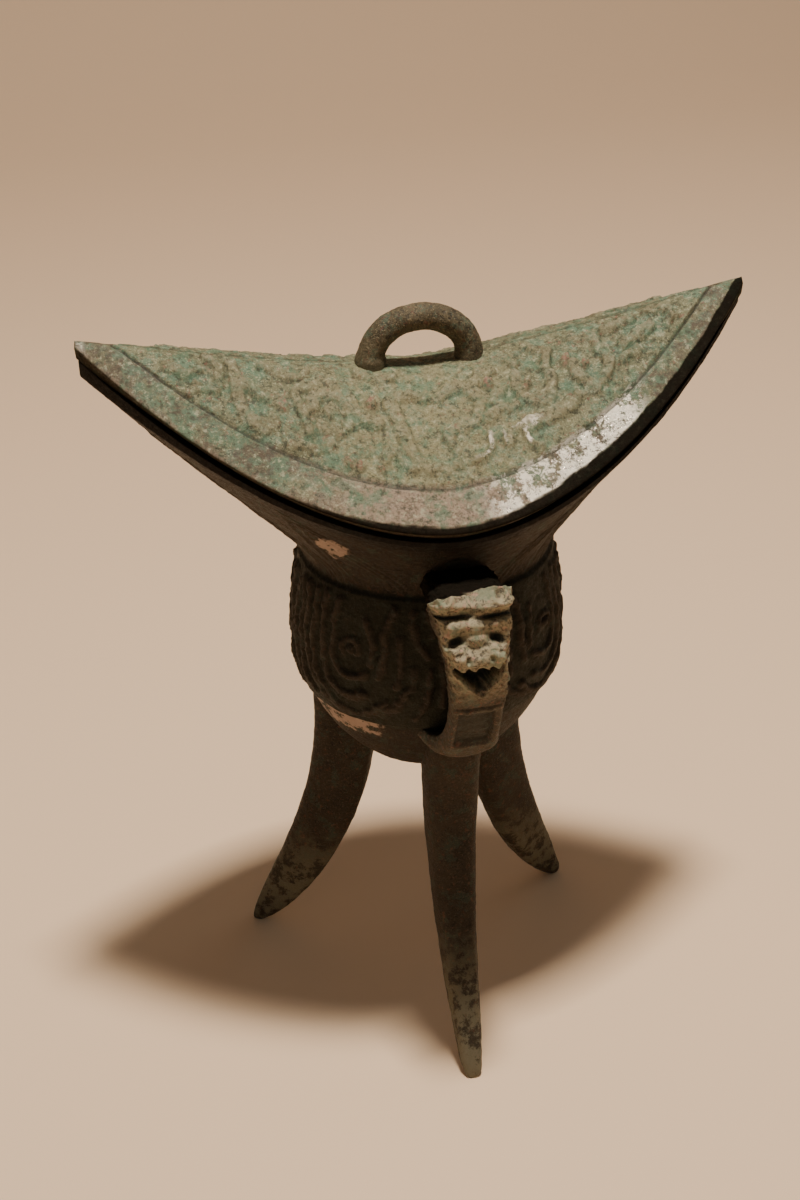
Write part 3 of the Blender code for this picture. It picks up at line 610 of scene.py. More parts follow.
# Ring. A plain round bar bent to a half loop and cast onto the ridge, where the lid lifts by it.
# Its feet flare a little where the bronze ran into the lid.
RING_RADIUS = 13.0 * MM
RING_BAR = 7.0 * MM
RING_CENTRE_Z = 194.9 * MM
RING_FLATTENING = 2.0 * MM
RING_FOOT_SHARE = 0.06
RING_FOOT_DEPTH = 4 * MM
RING_FOOT_FLARE = 0.22
RING_KNOB = 0.12
RING_KNOB_PLACE = 0.07
RING_KNOB_REACH = 0.04
RING_AROUND = 40
RING_CUTS = 110
ring, bar = new_rod("lid_ring", RING_AROUND, RING_CUTS)
along = bar[:, 2]
bend = math.pi * (1 - np.clip((along - RING_FOOT_SHARE) / (1 - 2 * RING_FOOT_SHARE), 0, 1))
rise = RING_RADIUS - RING_FLATTENING
in_foot = np.clip(np.abs(along - 0.5) - 0.5 + RING_FOOT_SHARE, 0, 1) / RING_FOOT_SHARE
centre_x = RING_RADIUS * np.cos(bend)
centre_z = RING_CENTRE_Z + RING_FLATTENING + rise * np.sin(bend) - RING_FOOT_DEPTH * in_foot
foot_flare = RING_FOOT_FLARE * np.exp(-np.minimum(along, 1 - along) / RING_FOOT_SHARE)
knob = RING_KNOB * np.exp(-((along - RING_KNOB_PLACE) / RING_KNOB_REACH) ** 2)
radius = RING_BAR / 2 * (1 + foot_flare + knob)
ring_x = centre_x + bar[:, 0] * radius * np.cos(bend)
ring_z = centre_z + bar[:, 0] * radius * np.sin(bend)
ring_y = bar[:, 1] * radius
place = np.stack([ring_x, ring_y, ring_z], axis=1)
push = 0.17 * MM * rough(place, size=4 * MM, seed=5.0)
push = push + 0.09 * MM * rough(place, size=1.2 * MM, seed=2.0)
ring_x = ring_x + bar[:, 0] * np.cos(bend) * push
ring_z = ring_z + bar[:, 0] * np.sin(bend) * push
ring_y = ring_y + bar[:, 1] * push
settle(ring, np.stack([ring_x, ring_y, ring_z], axis=1))
outward(ring)
ring_patina = patina(
    "ring_patina", base=(0.056, 0.043, 0.023), pale=(0.138, 0.108, 0.060), green=(0.075, 0.098, 0.058),
    red=(0.15, 0.066, 0.042), greenness=0.04, redness=0.03)
ring.data.materials.append(ring_patina)
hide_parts("lid")
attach(ring, "root")


# Cup. One casting about 3 mm thick: a round bowl under a slightly narrower neck, which flares into
# two pointed wings. A band of mask relief runs round the bowl, and pointed leaves rise on the neck.
BELLY_HALF_LENGTH = 36.5 * MM
BELLY_HALF_DEPTH = 34.8 * MM
BELLY_Z = 115.0 * MM
BOWL_BOTTOM_Z = 74.0 * MM
BOWL_POWER = 1.8
BOWL_OFF_CENTRE = 1.0 * MM
NECK_Z = 144.0 * MM
NECK_INSET = 2.7 * MM
CUP_WALL = 3.0 * MM
BAND_LOW_Z = 104.0 * MM
BAND_HIGH_Z = 142.8 * MM
BAND_RAISE = 0.8 * MM
BAND_RELIEF = 1.05 * MM
BAND_WARP = 0.9
BAND_CARVING_SLOPE = 0.9
BAND_DRAWING_HEIGHT = 34.0
RIM_OVERHANG = 1.4 * MM
RIM_WALL = 2.2 * MM
TIP_WALL = 3.2 * MM
RIM_LIP = 1.5 * MM
LEFT_TIP_LIP = 4.6 * MM
RIGHT_TIP_LIP = 2.0 * MM
TIP_LIP_POWER = 3.5
WING_TURN = 0.10
WING_BULGE = 0.04
SIDE_FLARE_POWER = 1.6
SEAT_GAP = 0.3 * MM
CUP_LUMPS = 0.18 * MM
CUP_GRAINS = 0.13 * MM
INNER_LUMPS = 0.08 * MM
# Painted shade near the rim, where the lid's shade falls: where it starts and how fast it comes in.
RIM_SHADE_START = 0.80
RIM_SHADE_FADE = 0.14

# The band's half mask is drawn across from its eye, in millimetres, and up from the band's foot to
# its drawing's height at the top.
EYE_ANGLE = 46.0
MASK_STROKES = (
    ([(-3.2, 31.6), (-4.8, 26.0), (-5.4, 19.0)] + arc((0.6, 18.6), 6.0, 180, 318, 14), 1.7),
    ([(5.4, 27.4), (7.4, 22.6), (6.8, 17.2)], 1.8),
    (arc((0.3, 20.4), 2.5, -30, 215, 12), 1.5),
    ([(-8.2, 31.8), (-9.6, 24.0), (-9.2, 17.0)] + arc((0.0, 16.4), 9.2, 184, 300, 16), 1.9),
    ([(8.8, 14.0), (10.6, 20.4), (10.8, 27.6), (13.2, 31.2)], 1.8),
    ([(-12.2, 31.4), (-13.2, 18.0)] + arc((0.0, 15.6), 13.0, 176, 322, 18), 1.7),
    ([(13.8, 11.8), (14.8, 19.0), (14.2, 25.0)], 1.6),
    ([(-15.8, 31.0), (-17.0, 19.6), (-15.6, 11.6), (-10.8, 4.8), (-3.4, 2.1), (4.6, 2.9)], 1.9),
    ([(8.4, 4.0), (13.4, 6.6), (17.6, 12.0), (18.0, 17.6)], 1.7),
    ([(-19.6, 31.6), (-20.8, 16.0), (-18.6, 8.0), (-14.2, 3.2)], 1.7),
    ([(-23.2, 30.2), (-24.2, 13.0), (-21.4, 5.0)], 1.9),
    ([(-27.0, 31.6), (-27.4, 20.0), (-25.6, 16.4)], 1.7),
    ([(-28.4, 12.4), (-27.0, 6.2), (-23.4, 2.2)], 1.7),
    ([(17.8, 31.4), (18.6, 24.6), (21.6, 20.6)], 1.8),
    ([(22.2, 31.2), (22.8, 26.2)], 1.8),
    ([(22.4, 16.4), (21.8, 8.6), (18.4, 3.0)], 1.7),
    ([(26.2, 31.6), (26.0, 7.0)], 1.7),
)
MASK_BOSSES = (
    ((0.3, 20.2), 2.2),
    ((-25.2, 15.6), 2.6),
    ((12.4, 29.6), 1.8),
)
# One leaf on the neck is drawn across from its middle, with its neighbours' middles one spacing
# away, and up from the neck to its drawing's height at the rim.
LEAF_COUNT = 10
LEAF_SPACING = 10.4
LEAF_TAPER = 0.2
LEAF_DRAWING_HEIGHT = 20
LEAF_CARVING_SLOPE = 0.5
LEAF_RELIEF = 0.45 * MM
LEAF_STROKES = (
    ([(-5.0, 0.4), (0.0, 15.6), (5.0, 0.4)], 0.35),
    ([(-4.0, 0.4), (0.0, 12.8), (4.0, 0.4)], 0.35),
    ([(-2.2, 1.0), (-2.4, 3.4), (-0.6, 7.4)], 0.4),
    ([(2.2, 1.0), (2.4, 3.4), (0.6, 7.4)], 0.4),
)


def bowl_ring(angles, z, wall=0.0, raise_by=0.0):
    """Points of the bowl at given angles and heights, moved in by the wall or out by a relief."""
    bottom = BOWL_BOTTOM_Z + wall
    below = np.clip((BELLY_Z - z) / (BELLY_Z - bottom), 0, 1)
    above = np.clip((z - BELLY_Z) / (NECK_Z - BELLY_Z), 0, None)
    swell = (1 - below ** BOWL_POWER) ** (1 / BOWL_POWER)
    out = raise_by - wall - NECK_INSET * above ** 2
    x = BOWL_OFF_CENTRE + (BELLY_HALF_LENGTH + out) * swell * np.cos(angles)
    return x, (BELLY_HALF_DEPTH + out) * swell * np.sin(angles)


def rim_lip(x):
    """Height of the rim's upright outer face, which is deepest at the wing tips."""
    tip_lip = np.where(x < 0, LEFT_TIP_LIP, RIGHT_TIP_LIP)
    return RIM_LIP + (tip_lip - RIM_LIP) * np.abs(x / LID_HALF_LENGTH) ** TIP_LIP_POWER


def flare_ring(angles, level, inner, lip=0.0):
    """Points of the neck and wings, from the neck at level 0 to the rim, or the lip's foot, at level 1."""
    turned = level - WING_TURN * (1 - np.exp(-level / WING_TURN))
    full = 1 - WING_TURN * (1 - math.exp(-1 / WING_TURN))
    along_wing = turned / full + WING_BULGE * np.sin(math.pi * level)
    along_side = level ** SIDE_FLARE_POWER
    share = np.abs(np.cos(angles))
    spread = share * along_wing + (1 - share) * along_side
    neck_x, neck_y = bowl_ring(angles, np.full_like(angles, NECK_Z), CUP_WALL * inner)
    rim_x = (LID_HALF_LENGTH - RIM_OVERHANG - TIP_WALL * inner) * np.cos(angles)
    rim_y = (LID_HALF_WIDTH - RIM_OVERHANG - RIM_WALL * inner) * np.sin(angles) * np.abs(np.sin(angles))
    rim_z = lid_edge(rim_x) - LID_EDGE_THICKNESS - SEAT_GAP - lip * rim_lip(rim_x)
    x = neck_x + (rim_x - neck_x) * spread
    y = neck_y + (rim_y - neck_y) * spread
    return x, y, NECK_Z + (rim_z - NECK_Z) * level


# The cup starts as a sphere too: its rings climb the outside from the bottom to the rim and go back
# down inside, and its two poles are the bottom's outside and inside.
CUP_AROUND = 352
CUP_RINGS = 270
BOWL_END = 0.14
BAND_END = 0.50
FLARE_END = 0.79
LIP_END = 0.82
RIM_END = 0.84
INNER_NECK_END = 0.5
cup, climb, angles = new_sphere("cup_shell", CUP_AROUND, CUP_RINGS)
band_foot_z = BAND_LOW_Z - BAND_RAISE
low_z = BOWL_BOTTOM_Z + (band_foot_z - BOWL_BOTTOM_Z) * np.clip(climb / BOWL_END, 0, 1) ** 2
band_share = np.clip((climb - BOWL_END) / (BAND_END - BOWL_END), 0, 1)
band_z = band_foot_z + (BAND_HIGH_Z - BAND_LOW_Z + 2 * BAND_RAISE) * band_share
outer_level = np.clip((climb - BAND_END) / (FLARE_END - BAND_END), 0, 1)
lip = np.clip((LIP_END - climb) / (LIP_END - FLARE_END), 0, 1)
across_rim = np.clip((climb - LIP_END) / (RIM_END - LIP_END), 0, 1)
inner_share = np.clip((climb - RIM_END) / (1 - RIM_END), 0, 1)
inner_level = np.clip(1 - inner_share / INNER_NECK_END, 0, 1)
inner_rise = np.clip((1 - inner_share) / (1 - INNER_NECK_END), 0, 1)
inner_bottom = BOWL_BOTTOM_Z + CUP_WALL
inner_z = inner_bottom + (NECK_Z - inner_bottom) * inner_rise ** 2

# The half mask is mirrored at the handle, at the sides and at the back.
degrees = np.degrees(angles) % 360
from_handle = np.abs((degrees - 270 + 180) % 360 - 180)
from_middle = np.minimum(from_handle, 180 - from_handle)
across = np.radians(EYE_ANGLE - from_middle) * BELLY_HALF_LENGTH / MM
up = (band_z - BAND_LOW_Z) / (BAND_HIGH_Z - BAND_LOW_Z) * BAND_DRAWING_HEIGHT
on_band = (climb > BOWL_END) & (climb <= BAND_END)
swell_x = np.cos(angles) * BELLY_HALF_LENGTH
swell_y = np.sin(angles) * BELLY_HALF_DEPTH
band_lumps = rough(np.stack([swell_x, swell_y, band_z], axis=1), size=6 * MM, seed=2.2)
band_carving = carved(
    across + BAND_WARP * band_lumps, up - BAND_WARP * band_lumps,
    MASK_STROKES, MASK_BOSSES, BAND_CARVING_SLOPE)
band_carving = np.clip(band_carving * (0.78 + 0.55 * band_lumps), 0, 1.2) * on_band
from_band_edge = np.minimum(band_z - band_foot_z, BAND_HIGH_Z + BAND_RAISE - band_z)
band_lift = np.clip(from_band_edge / BAND_RAISE, 0, 1)
raise_by = np.where(on_band, band_lift * BAND_RAISE + BAND_RELIEF * band_carving, 0)
low_x, low_y = bowl_ring(angles, low_z)
band_x, band_y = bowl_ring(angles, band_z, 0.0, raise_by)
wing_x, wing_y, wing_z = flare_ring(angles, outer_level, 0.0, lip)
inner_x, inner_y, inner_wing_z = flare_ring(angles, inner_level, across_rim)
deep_x, deep_y = bowl_ring(angles, inner_z, CUP_WALL)
parts = [climb <= BOWL_END, on_band, climb <= LIP_END, inner_share <= INNER_NECK_END]
x = np.select(parts, [low_x, band_x, wing_x, inner_x], deep_x)
y = np.select(parts, [low_y, band_y, wing_y, inner_y], deep_y)
z = np.select(parts, [low_z, band_z, wing_z, inner_wing_z], inner_z)
leaf_across = ((degrees / 360 * LEAF_COUNT) % 1 - 0.5) * LEAF_SPACING * (1 - LEAF_TAPER * outer_level)
leaf_up = outer_level * LEAF_DRAWING_HEIGHT
on_neck = (climb > BAND_END) & (climb <= FLARE_END)
leaf_carving = carved(leaf_across, leaf_up, LEAF_STROKES, (), LEAF_CARVING_SLOPE) * on_neck
place = np.stack([x, y, z], axis=1)
lumps = rough(place, size=8 * MM, seed=1.3)
grains = rough(place, size=1.5 * MM, seed=6.1)
outer_push = CUP_LUMPS * lumps + CUP_GRAINS * grains + LEAF_RELIEF * leaf_carving
push = np.where(climb <= FLARE_END, outer_push, INNER_LUMPS * lumps)
# The rim stays even.
rim_hold = np.clip((np.abs(climb - (FLARE_END + RIM_END) / 2) - 0.01) / 0.02, 0, 1)
out = np.stack([np.cos(angles), np.sin(angles), np.zeros_like(angles)], axis=1)
settle(cup, place + out * (push * rim_hold)[:, None])
outward(cup)
# Painted shade: darker from near the rim up over the rim and down the inside, for the lid's shade.
rim_shade = np.clip((outer_level - RIM_SHADE_START) / RIM_SHADE_FADE, 0, 1)
mark(cup, "carving", np.maximum(band_carving, leaf_carving))
mark(cup, "groove", np.where(on_band, np.clip(1 - 2 * band_carving, 0, 1), 0))
mark(cup, "shade_under_lid", np.where(climb <= BAND_END, 0, rim_shade))


NECK_PATCH = (-29.0 * MM, AXIS_Y - 27.2 * MM, 158.6 * MM)
CUP_RELIEF = (0.048, 0.037, 0.025)
COPPER_PATCH = (0.48, 0.345, 0.265)


def cup_wear_and_shade(tree, here, colour, metal, gloss, patchy):
    """Earth in the relief, painted shade on the rim under the lid, and rubbed coppery patches on the neck
    and by the left leg.
    """
    colour = stained(colour, "carving", 0.55, CUP_RELIEF)
    colour = stained(colour, "groove", 0.75, SOIL)
    # Painted shade near the rim and inside.
    colour = stained(colour, "shade_under_lid", 0.85, PAINTED_SHADE)
    spot = tree.nodes.new("ShaderNodeVectorMath")
    spot.operation = "DISTANCE"
    tree.links.new(here, spot.inputs[0])
    spot.inputs[1].default_value = NECK_PATCH
    on_neck = between(spot.outputs["Value"], 7.5 * MM, 2.0 * MM)
    x = along_axis(here, "X")
    y = along_axis(here, "Y")
    z = along_axis(here, "Z")
    crescent = both(
        between(z, 95.5 * MM, 98 * MM), between(z, 104.2 * MM, 103.2 * MM),
        between(x, -14 * MM, -22 * MM), between(y, AXIS_Y - 3 * MM, AXIS_Y - 9 * MM))
    patch = combined("MAXIMUM", on_neck, crescent)
    patch = between(both(patch, between(patchy, 0.66, 0.38)), 0.24, 0.50, 0, 0.72)
    colour = layered(patch, colour, COPPER_PATCH)
    return colour, combined("SUBTRACT", metal, patch), gloss


cup_patina_and_shade = patina(
    "cup_patina_and_shade", base=(0.016, 0.012, 0.008), pale=(0.036, 0.028, 0.019), green=(0.024, 0.036, 0.023),
    red=(0.075, 0.036, 0.023), greenness=0.03, redness=0.02, shine=0.25, wear_and_painted_light=cup_wear_and_shade)
cup.data.materials.append(cup_patina_and_shade)
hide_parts("vessel")
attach(cup, "root")


# Legs. Three solid blades cast onto the bowl, deep from front to back and thin across, that curve
# out to a blunt tip. The front one stands under the handle.
FRONT_FOOT_REACH = 60.0 * MM
BACK_FOOT_REACH = 57.5 * MM
BACK_LEG_ANGLE = 28.0
FRONT_LEG_LEAN = 27.0 * MM
BACK_LEG_LEAN = 24.0 * MM
LEG_TOP_Z = 101.0 * MM
LEG_CURVE_HEIGHT = 84.0 * MM
LEG_CURVE_POWER = 1.15
LEG_DEPTH = 18.0 * MM
FOOT_DEPTH = 5.0 * MM
LEG_DEPTH_LENGTH = 14.0 * MM
BACK_LEG_THICKNESS = 13.4 * MM
FRONT_LEG_THICKNESS = 16.6 * MM
FOOT_THICKNESS = 5.4 * MM
LEG_THICKNESS_POWER = 0.8
FOOT_BLUNTING = 0.35
FOOT_BLUNT_HEIGHT = 1.6 * MM
FRONT_LEG_TOP_SHIFT = 1.4 * MM
LEG_SQUARENESS = 0.62
LEG_LUMPS = 0.22 * MM
LEG_GRAINS = 0.08 * MM
# Pale crust that is also painted light, for the low part of the legs where the light falls past the lid's
# shade.
FOOT_CRUST_AND_LIGHT = (0.150, 0.134, 0.086)
CORE_NECK_END = 0.6
CORE_SPACING_POWER = 1.6
CORE_TOP_LEVEL = 0.8


def trimmed_to_wall(piece):
    """Cuts off what of a cast-on piece stands further in than the middle of the cup's wall."""
    core, climb, angles = new_sphere("wall_core", 96, 64)
    bottom = BOWL_BOTTOM_Z + CUP_WALL / 2
    core_z = bottom + (NECK_Z - bottom) * np.clip(climb / CORE_NECK_END, 0, 1) ** CORE_SPACING_POWER
    level = np.clip((climb - CORE_NECK_END) / (1 - CORE_NECK_END), 0, 1) * CORE_TOP_LEVEL
    bowl_x, bowl_y = bowl_ring(angles, core_z, CUP_WALL / 2)
    wing_x, wing_y, wing_z = flare_ring(angles, level, 0.5)
    in_bowl = climb <= CORE_NECK_END
    shut = np.sqrt(np.clip((1 - climb) / 0.02, 0, 1))
    core_x = np.where(in_bowl, bowl_x, wing_x * shut)
    core_y = np.where(in_bowl, bowl_y, wing_y * shut)
    settle(core, np.stack([core_x, core_y, np.where(in_bowl, core_z, wing_z)], axis=1))
    outward(core)
    bpy.ops.object.select_all(action="DESELECT")
    bpy.context.view_layer.objects.active = piece
    piece.select_set(True)
    cut = piece.modifiers.new("wall", "BOOLEAN")
    cut.operation = "DIFFERENCE"
    cut.object = core
    bpy.ops.object.modifier_apply(modifier="wall")
    bpy.data.objects.remove(core, do_unlink=True)


def legs_crust_and_light(tree, here, colour, metal, gloss, patchy):
    """A paler crust on the lowest part of each leg, which is also painted light where the light reaches past
    the lid's shade.
    """
    low = between(along_axis(here, "Z"), 46 * MM, 14 * MM)
    crust = both(low, between(patchy, 0.44, 0.52, 0.1, 0.95))
    return layered(crust, colour, FOOT_CRUST_AND_LIGHT), combined("SUBTRACT", metal, crust), gloss


leg_patina_and_light = patina(
    "leg_patina_and_light", base=(0.018, 0.014, 0.009), pale=(0.042, 0.032, 0.021), green=(0.028, 0.040, 0.026),
    red=(0.100, 0.044, 0.027), greenness=0.03, redness=0.03, shine=0.25, wear_and_painted_light=legs_crust_and_light)
LEG_AROUND = 72
LEG_CUTS = 150
for leg_name, leg_angle, reach, lean, leg_thickness, top_shift in (
        ("front_leg", -90, FRONT_FOOT_REACH, FRONT_LEG_LEAN, FRONT_LEG_THICKNESS, FRONT_LEG_TOP_SHIFT),
        ("right_leg", BACK_LEG_ANGLE, BACK_FOOT_REACH, BACK_LEG_LEAN, BACK_LEG_THICKNESS, 0),
        ("left_leg", 180 - BACK_LEG_ANGLE, BACK_FOOT_REACH, BACK_LEG_LEAN, BACK_LEG_THICKNESS, 0)):
    blade, stick = new_rod(leg_name, LEG_AROUND, LEG_CUTS)
    share = stick[:, 2]
    z = LEG_TOP_Z * share
    around = np.arctan2(stick[:, 1], stick[:, 0])
    across = squarer(np.cos(around), LEG_SQUARENESS)
    side = squarer(np.sin(around), LEG_SQUARENESS)
    curve = np.sin(math.pi / 2 * np.minimum(z / LEG_CURVE_HEIGHT, 1)) ** LEG_CURVE_POWER
    outer = reach - lean * curve
    depth = FOOT_DEPTH + (LEG_DEPTH - FOOT_DEPTH) * (1 - np.exp(-z / LEG_DEPTH_LENGTH))
    thickness = FOOT_THICKNESS + (leg_thickness - FOOT_THICKNESS) * share ** LEG_THICKNESS_POWER
    blunt = 1 - FOOT_BLUNTING * np.exp(-z / FOOT_BLUNT_HEIGHT)
    radial = outer - depth / 2 + across * depth / 2 * blunt
    sideways = side * thickness / 2 * blunt + top_shift * share ** 2
    heading = math.radians(leg_angle)
    x = BOWL_OFF_CENTRE * share + radial * math.cos(heading) - sideways * math.sin(heading)
    y = radial * math.sin(heading) + sideways * math.cos(heading)
    place = np.stack([x, y, z], axis=1)
    push = LEG_LUMPS * rough(place, size=9 * MM, seed=4.4)
    push = push + LEG_GRAINS * rough(place, size=1.8 * MM, seed=7.7)
    push = push * np.clip(z / (3 * MM), 0, 1)
    place[:, 0] += push * np.cos(around + heading)
    place[:, 1] += push * np.sin(around + heading)
    settle(blade, place)
    outward(blade)
    trimmed_to_wall(blade)
    blade.data.materials.append(leg_patina_and_light)
    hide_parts("vessel")
    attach(blade, "root")


# Handle. A cast strap loop under the lid's near side. Its upper part is the head of a horned beast
# with sunk eyes and an open mouth, and its lower part a panelled strap that spreads onto the bowl.
# Each station is the strap's middle (Y and Z), its lean in degrees, its width and its thickness.
HANDLE_STATIONS = (
    (-27.0, 148.0, 86, 17.0, 8.0),
    (-38.0, 149.4, 80, 18.0, 8.0),
    (-44.8, 149.6, 52, 20.0, 9.2),
    (-48.6, 145.2, 27, 19.4, 9.8),
    (-50.4, 138.6, 16, 16.9, 9.6),
    (-50.6, 131.2, 4, 15.2, 8.2),
    (-49.2, 123.6, -8, 14.4, 6.2),
    (-46.6, 115.2, -16, 14.0, 5.6),
    (-42.6, 107.2, -28, 14.6, 5.8),
    (-37.4, 100.2, -46, 17.6, 6.2),
    (-29.0, 95.0, -60, 24.0, 6.6),
)
HANDLE_TOP_X = 1.0
HANDLE_DRIFT = 1.8
HANDLE_DRIFT_FROM_Z = 151.0
HANDLE_DRIFT_LENGTH = 27.0
HANDLE_FOOT_STATION = 8.0
HANDLE_FOOT_BOW = 0.055
HANDLE_AROUND = 132
HANDLE_CUTS = 250
HANDLE_SQUARENESS = 0.5
# The face is in millimetres, across from its middle and up from the ground, and the same on both
# sides. Each mound is its height, its middle, its reach and its squareness.
FACE_MIDDLE = 0.3
FACE_MOUNDS = (
    (1.3, (5.9, 146.7), (2.1, 1.1), 2.6),  # brow
    (1.1, (2.0, 147.2), (1.3, 1.2), 2.6),  # brow's inner end
    (1.3, (0.0, 144.2), (1.7, 3.6), 4.0),  # nose
    (0.9, (0.0, 149.6), (1.6, 1.6), 3.0),  # knob between the horns
    (0.8, (4.9, 138.6), (1.5, 1.2), 2.6),  # cheek
    (0.7, (1.6, 137.6), (1.2, 1.0), 2.6),  # snout's tip
    (-1.8, (3.1, 138.4), (0.6, 0.9), 3.0),  # nostril
    (0.9, (0.0, 120.6), (6.6, 0.9), 5.0),  # step under the jaw
    (0.5, (3.0, 120.6), (0.9, 1.2), 3.0),  # knob on the step
    (0.6, (6.2, 111.0), (0.7, 9.0), 4.0),  # rail beside the panel
)
SNOUT_EDGE_Z = 135.2
SNOUT_TOP_Z = 141.6
EYE_Z = 143.2
JAW_Z = 127.6
JAW_FOOT_Z = 121.6
PANEL_TOP_Z = 119.0
PANEL_FOOT_Z = 104.0


def smooth_path(values, along):
    """Catmull-Rom curve through evenly spaced values, at each position along them."""
    padded = [2 * values[0] - values[1], *values, 2 * values[-1] - values[-2]]
    padded = np.array(padded, dtype=float)
    start = np.clip(along.astype(int), 0, len(values) - 2)
    t = along - start
    before, here, after, beyond = (padded[start + shift] for shift in range(4))
    return 0.5 * (
        2 * here + (after - before) * t + (2 * before - 5 * here + 4 * after - beyond) * t ** 2
        + (3 * here - before - 3 * after + beyond) * t ** 3)


def mound(across, up, centre, radii, power):
    """Rounded bump from 0 to 1 about a centre."""
    across_share = np.abs(across - centre[0]) / radii[0]
    up_share = np.abs(up - centre[1]) / radii[1]
    return np.exp(-across_share ** power - up_share ** power)


def ramp(distance, length):
    """Rises from 0 to 1 over a length."""
    return np.clip(distance / length, 0, 1)


grip, stick = new_rod("beast_handle", HANDLE_AROUND, HANDLE_CUTS)
along = np.clip(stick[:, 2], 0, 1) * (len(HANDLE_STATIONS) - 1)
middle_y, middle_z, lean, width, thickness = [smooth_path(column, along) for column in zip(*HANDLE_STATIONS)]
lean = np.radians(lean)
around = np.arctan2(stick[:, 1], stick[:, 0])
side = squarer(np.cos(around), HANDLE_SQUARENESS) * width / 2
out = squarer(np.sin(around), HANDLE_SQUARENESS) * thickness / 2
facing = np.clip(np.sin(around) * 2.2, 0, 1)
middle_z = middle_z + HANDLE_FOOT_BOW * ramp(along - HANDLE_FOOT_STATION, 2.0) * side ** 2
height = middle_z + out * np.sin(lean)
drift = HANDLE_TOP_X + HANDLE_DRIFT * ramp(HANDLE_DRIFT_FROM_Z - middle_z, HANDLE_DRIFT_LENGTH)

# The right horn is a little taller than the left one, and its foot is lower.
from_middle = side + FACE_MIDDLE
mirrored = np.abs(from_middle)
right_half = from_middle > 0
horn_foot = np.where(right_half, 149.2, 149.9)
horn_height = np.where(right_half, 3.5, 2.7)
crest_start = np.where(right_half, 2.03, 2.15)
past_crest = ramp(along - crest_start, 0.05)
horn_box = ramp(4.8 - np.abs(mirrored - 5.9), 0.5) * ramp(height - horn_foot, 0.6) * past_crest
curl = np.hypot(mirrored - 6.6, height - horn_foot - 2.6)
curls = ramp(2.6 - np.abs(curl - 1.7) * 4.6, 2.6) * 0.7 - 1.5 * np.exp(-(curl / 0.75) ** 2)
horn_cuts = -1.3 * mound(mirrored, height, (3.1, horn_foot + 3.0), (0.35, 2.2), 4.0)
horn_cuts -= 1.0 * mound(mirrored, height, (9.2, horn_foot + 1.6), (0.4, 1.4), 3.0)
face = (horn_height + curls + horn_cuts) * horn_box
face -= 2.0 * mound(mirrored, height, (5.4, horn_foot - 0.9), (4.8, 0.5), 4.0)

# Sunk eyes over their lower lids, the snout, the open mouth, the jaw and the panel below it
eye_line = EYE_Z - 0.25 * (mirrored - 5.0)
face -= 2.7 * mound(mirrored, height, (5.0, eye_line), (1.8, 1.15), 2.8)
face += 0.9 * mound(mirrored, height, (5.2, eye_line - 2.2), (2.2, 0.6), 3.0)
for mound_height, centre, radii, power in FACE_MOUNDS:
    face += mound_height * mound(mirrored, height, centre, radii, power)
snout_edge = SNOUT_EDGE_Z + 0.5 * np.cos(mirrored * 2 * math.pi / 3.1)
on_snout = ramp(height - snout_edge, 0.7) * ramp(SNOUT_TOP_Z - height, 2.6)
face += 2.6 * on_snout * ramp(7.2 - mirrored, 1.0)
jaw_line = JAW_Z + 1.15 * mirrored
gape = ramp(height - jaw_line, 0.7) * ramp(snout_edge - 0.1 - height, 0.5)
face -= 5.4 * gape * ramp(6.5 - mirrored, 0.5)
face += 1.2 * np.exp(-((height - jaw_line + 1.2) / 0.8) ** 2) * ramp(7.0 - mirrored, 0.8)
face += 0.8 * ramp(height - JAW_FOOT_Z, 0.6) * ramp(jaw_line - height, 1.0)
on_panel = ramp(5.0 - mirrored, 0.5) * ramp(PANEL_TOP_Z - height, 0.6)
face -= 1.7 * on_panel * ramp(height - PANEL_FOOT_Z, 1.6)
face = facing * face
place = np.stack([side, middle_y - out * np.cos(lean), height], axis=1) * MM
lumps = rough(place, size=3.2 * MM, seed=9.4)
grains = rough(place, size=1.1 * MM, seed=3.8)
on_head = ramp(height - 122, 5)
knobbly = (0.14 + 0.42 * on_head) * lumps + (0.09 + 0.20 * on_head) * grains
side = side + np.cos(around) * (knobbly + 0.9 * horn_box)
out = out + np.clip(np.sin(around) * 3, -1, 1) * (face + knobbly)
place = np.stack([side + drift, middle_y - out * np.cos(lean), middle_z + out * np.sin(lean)], axis=1) * MM
settle(grip, place)
outward(grip)
mark(grip, "carving", np.clip(face / 2, 0, 1))
mark(grip, "groove", np.clip(-face / 2, 0, 1))
# Painted light: the pale crust goes only on the head's front above about 123 mm and in front of the crest,
# where the light falls.
mark(grip, "lit", ramp(height - 123, 12) * facing * past_crest)
# Painted shade on the strap's top behind the crest, which lies in the lid's shade.
mark(grip, "shade_under_lid", ramp(crest_start - along, 0.05))
trimmed_to_wall(grip)
# Crust colours that go only where the head is lit, so they carry painted light as well as crust.
HEAD_CRUST_AND_LIGHT = (0.400, 0.335, 0.205)
HEAD_GREEN = (0.230, 0.255, 0.160)
HEAD_PINK = (0.48, 0.290, 0.200)


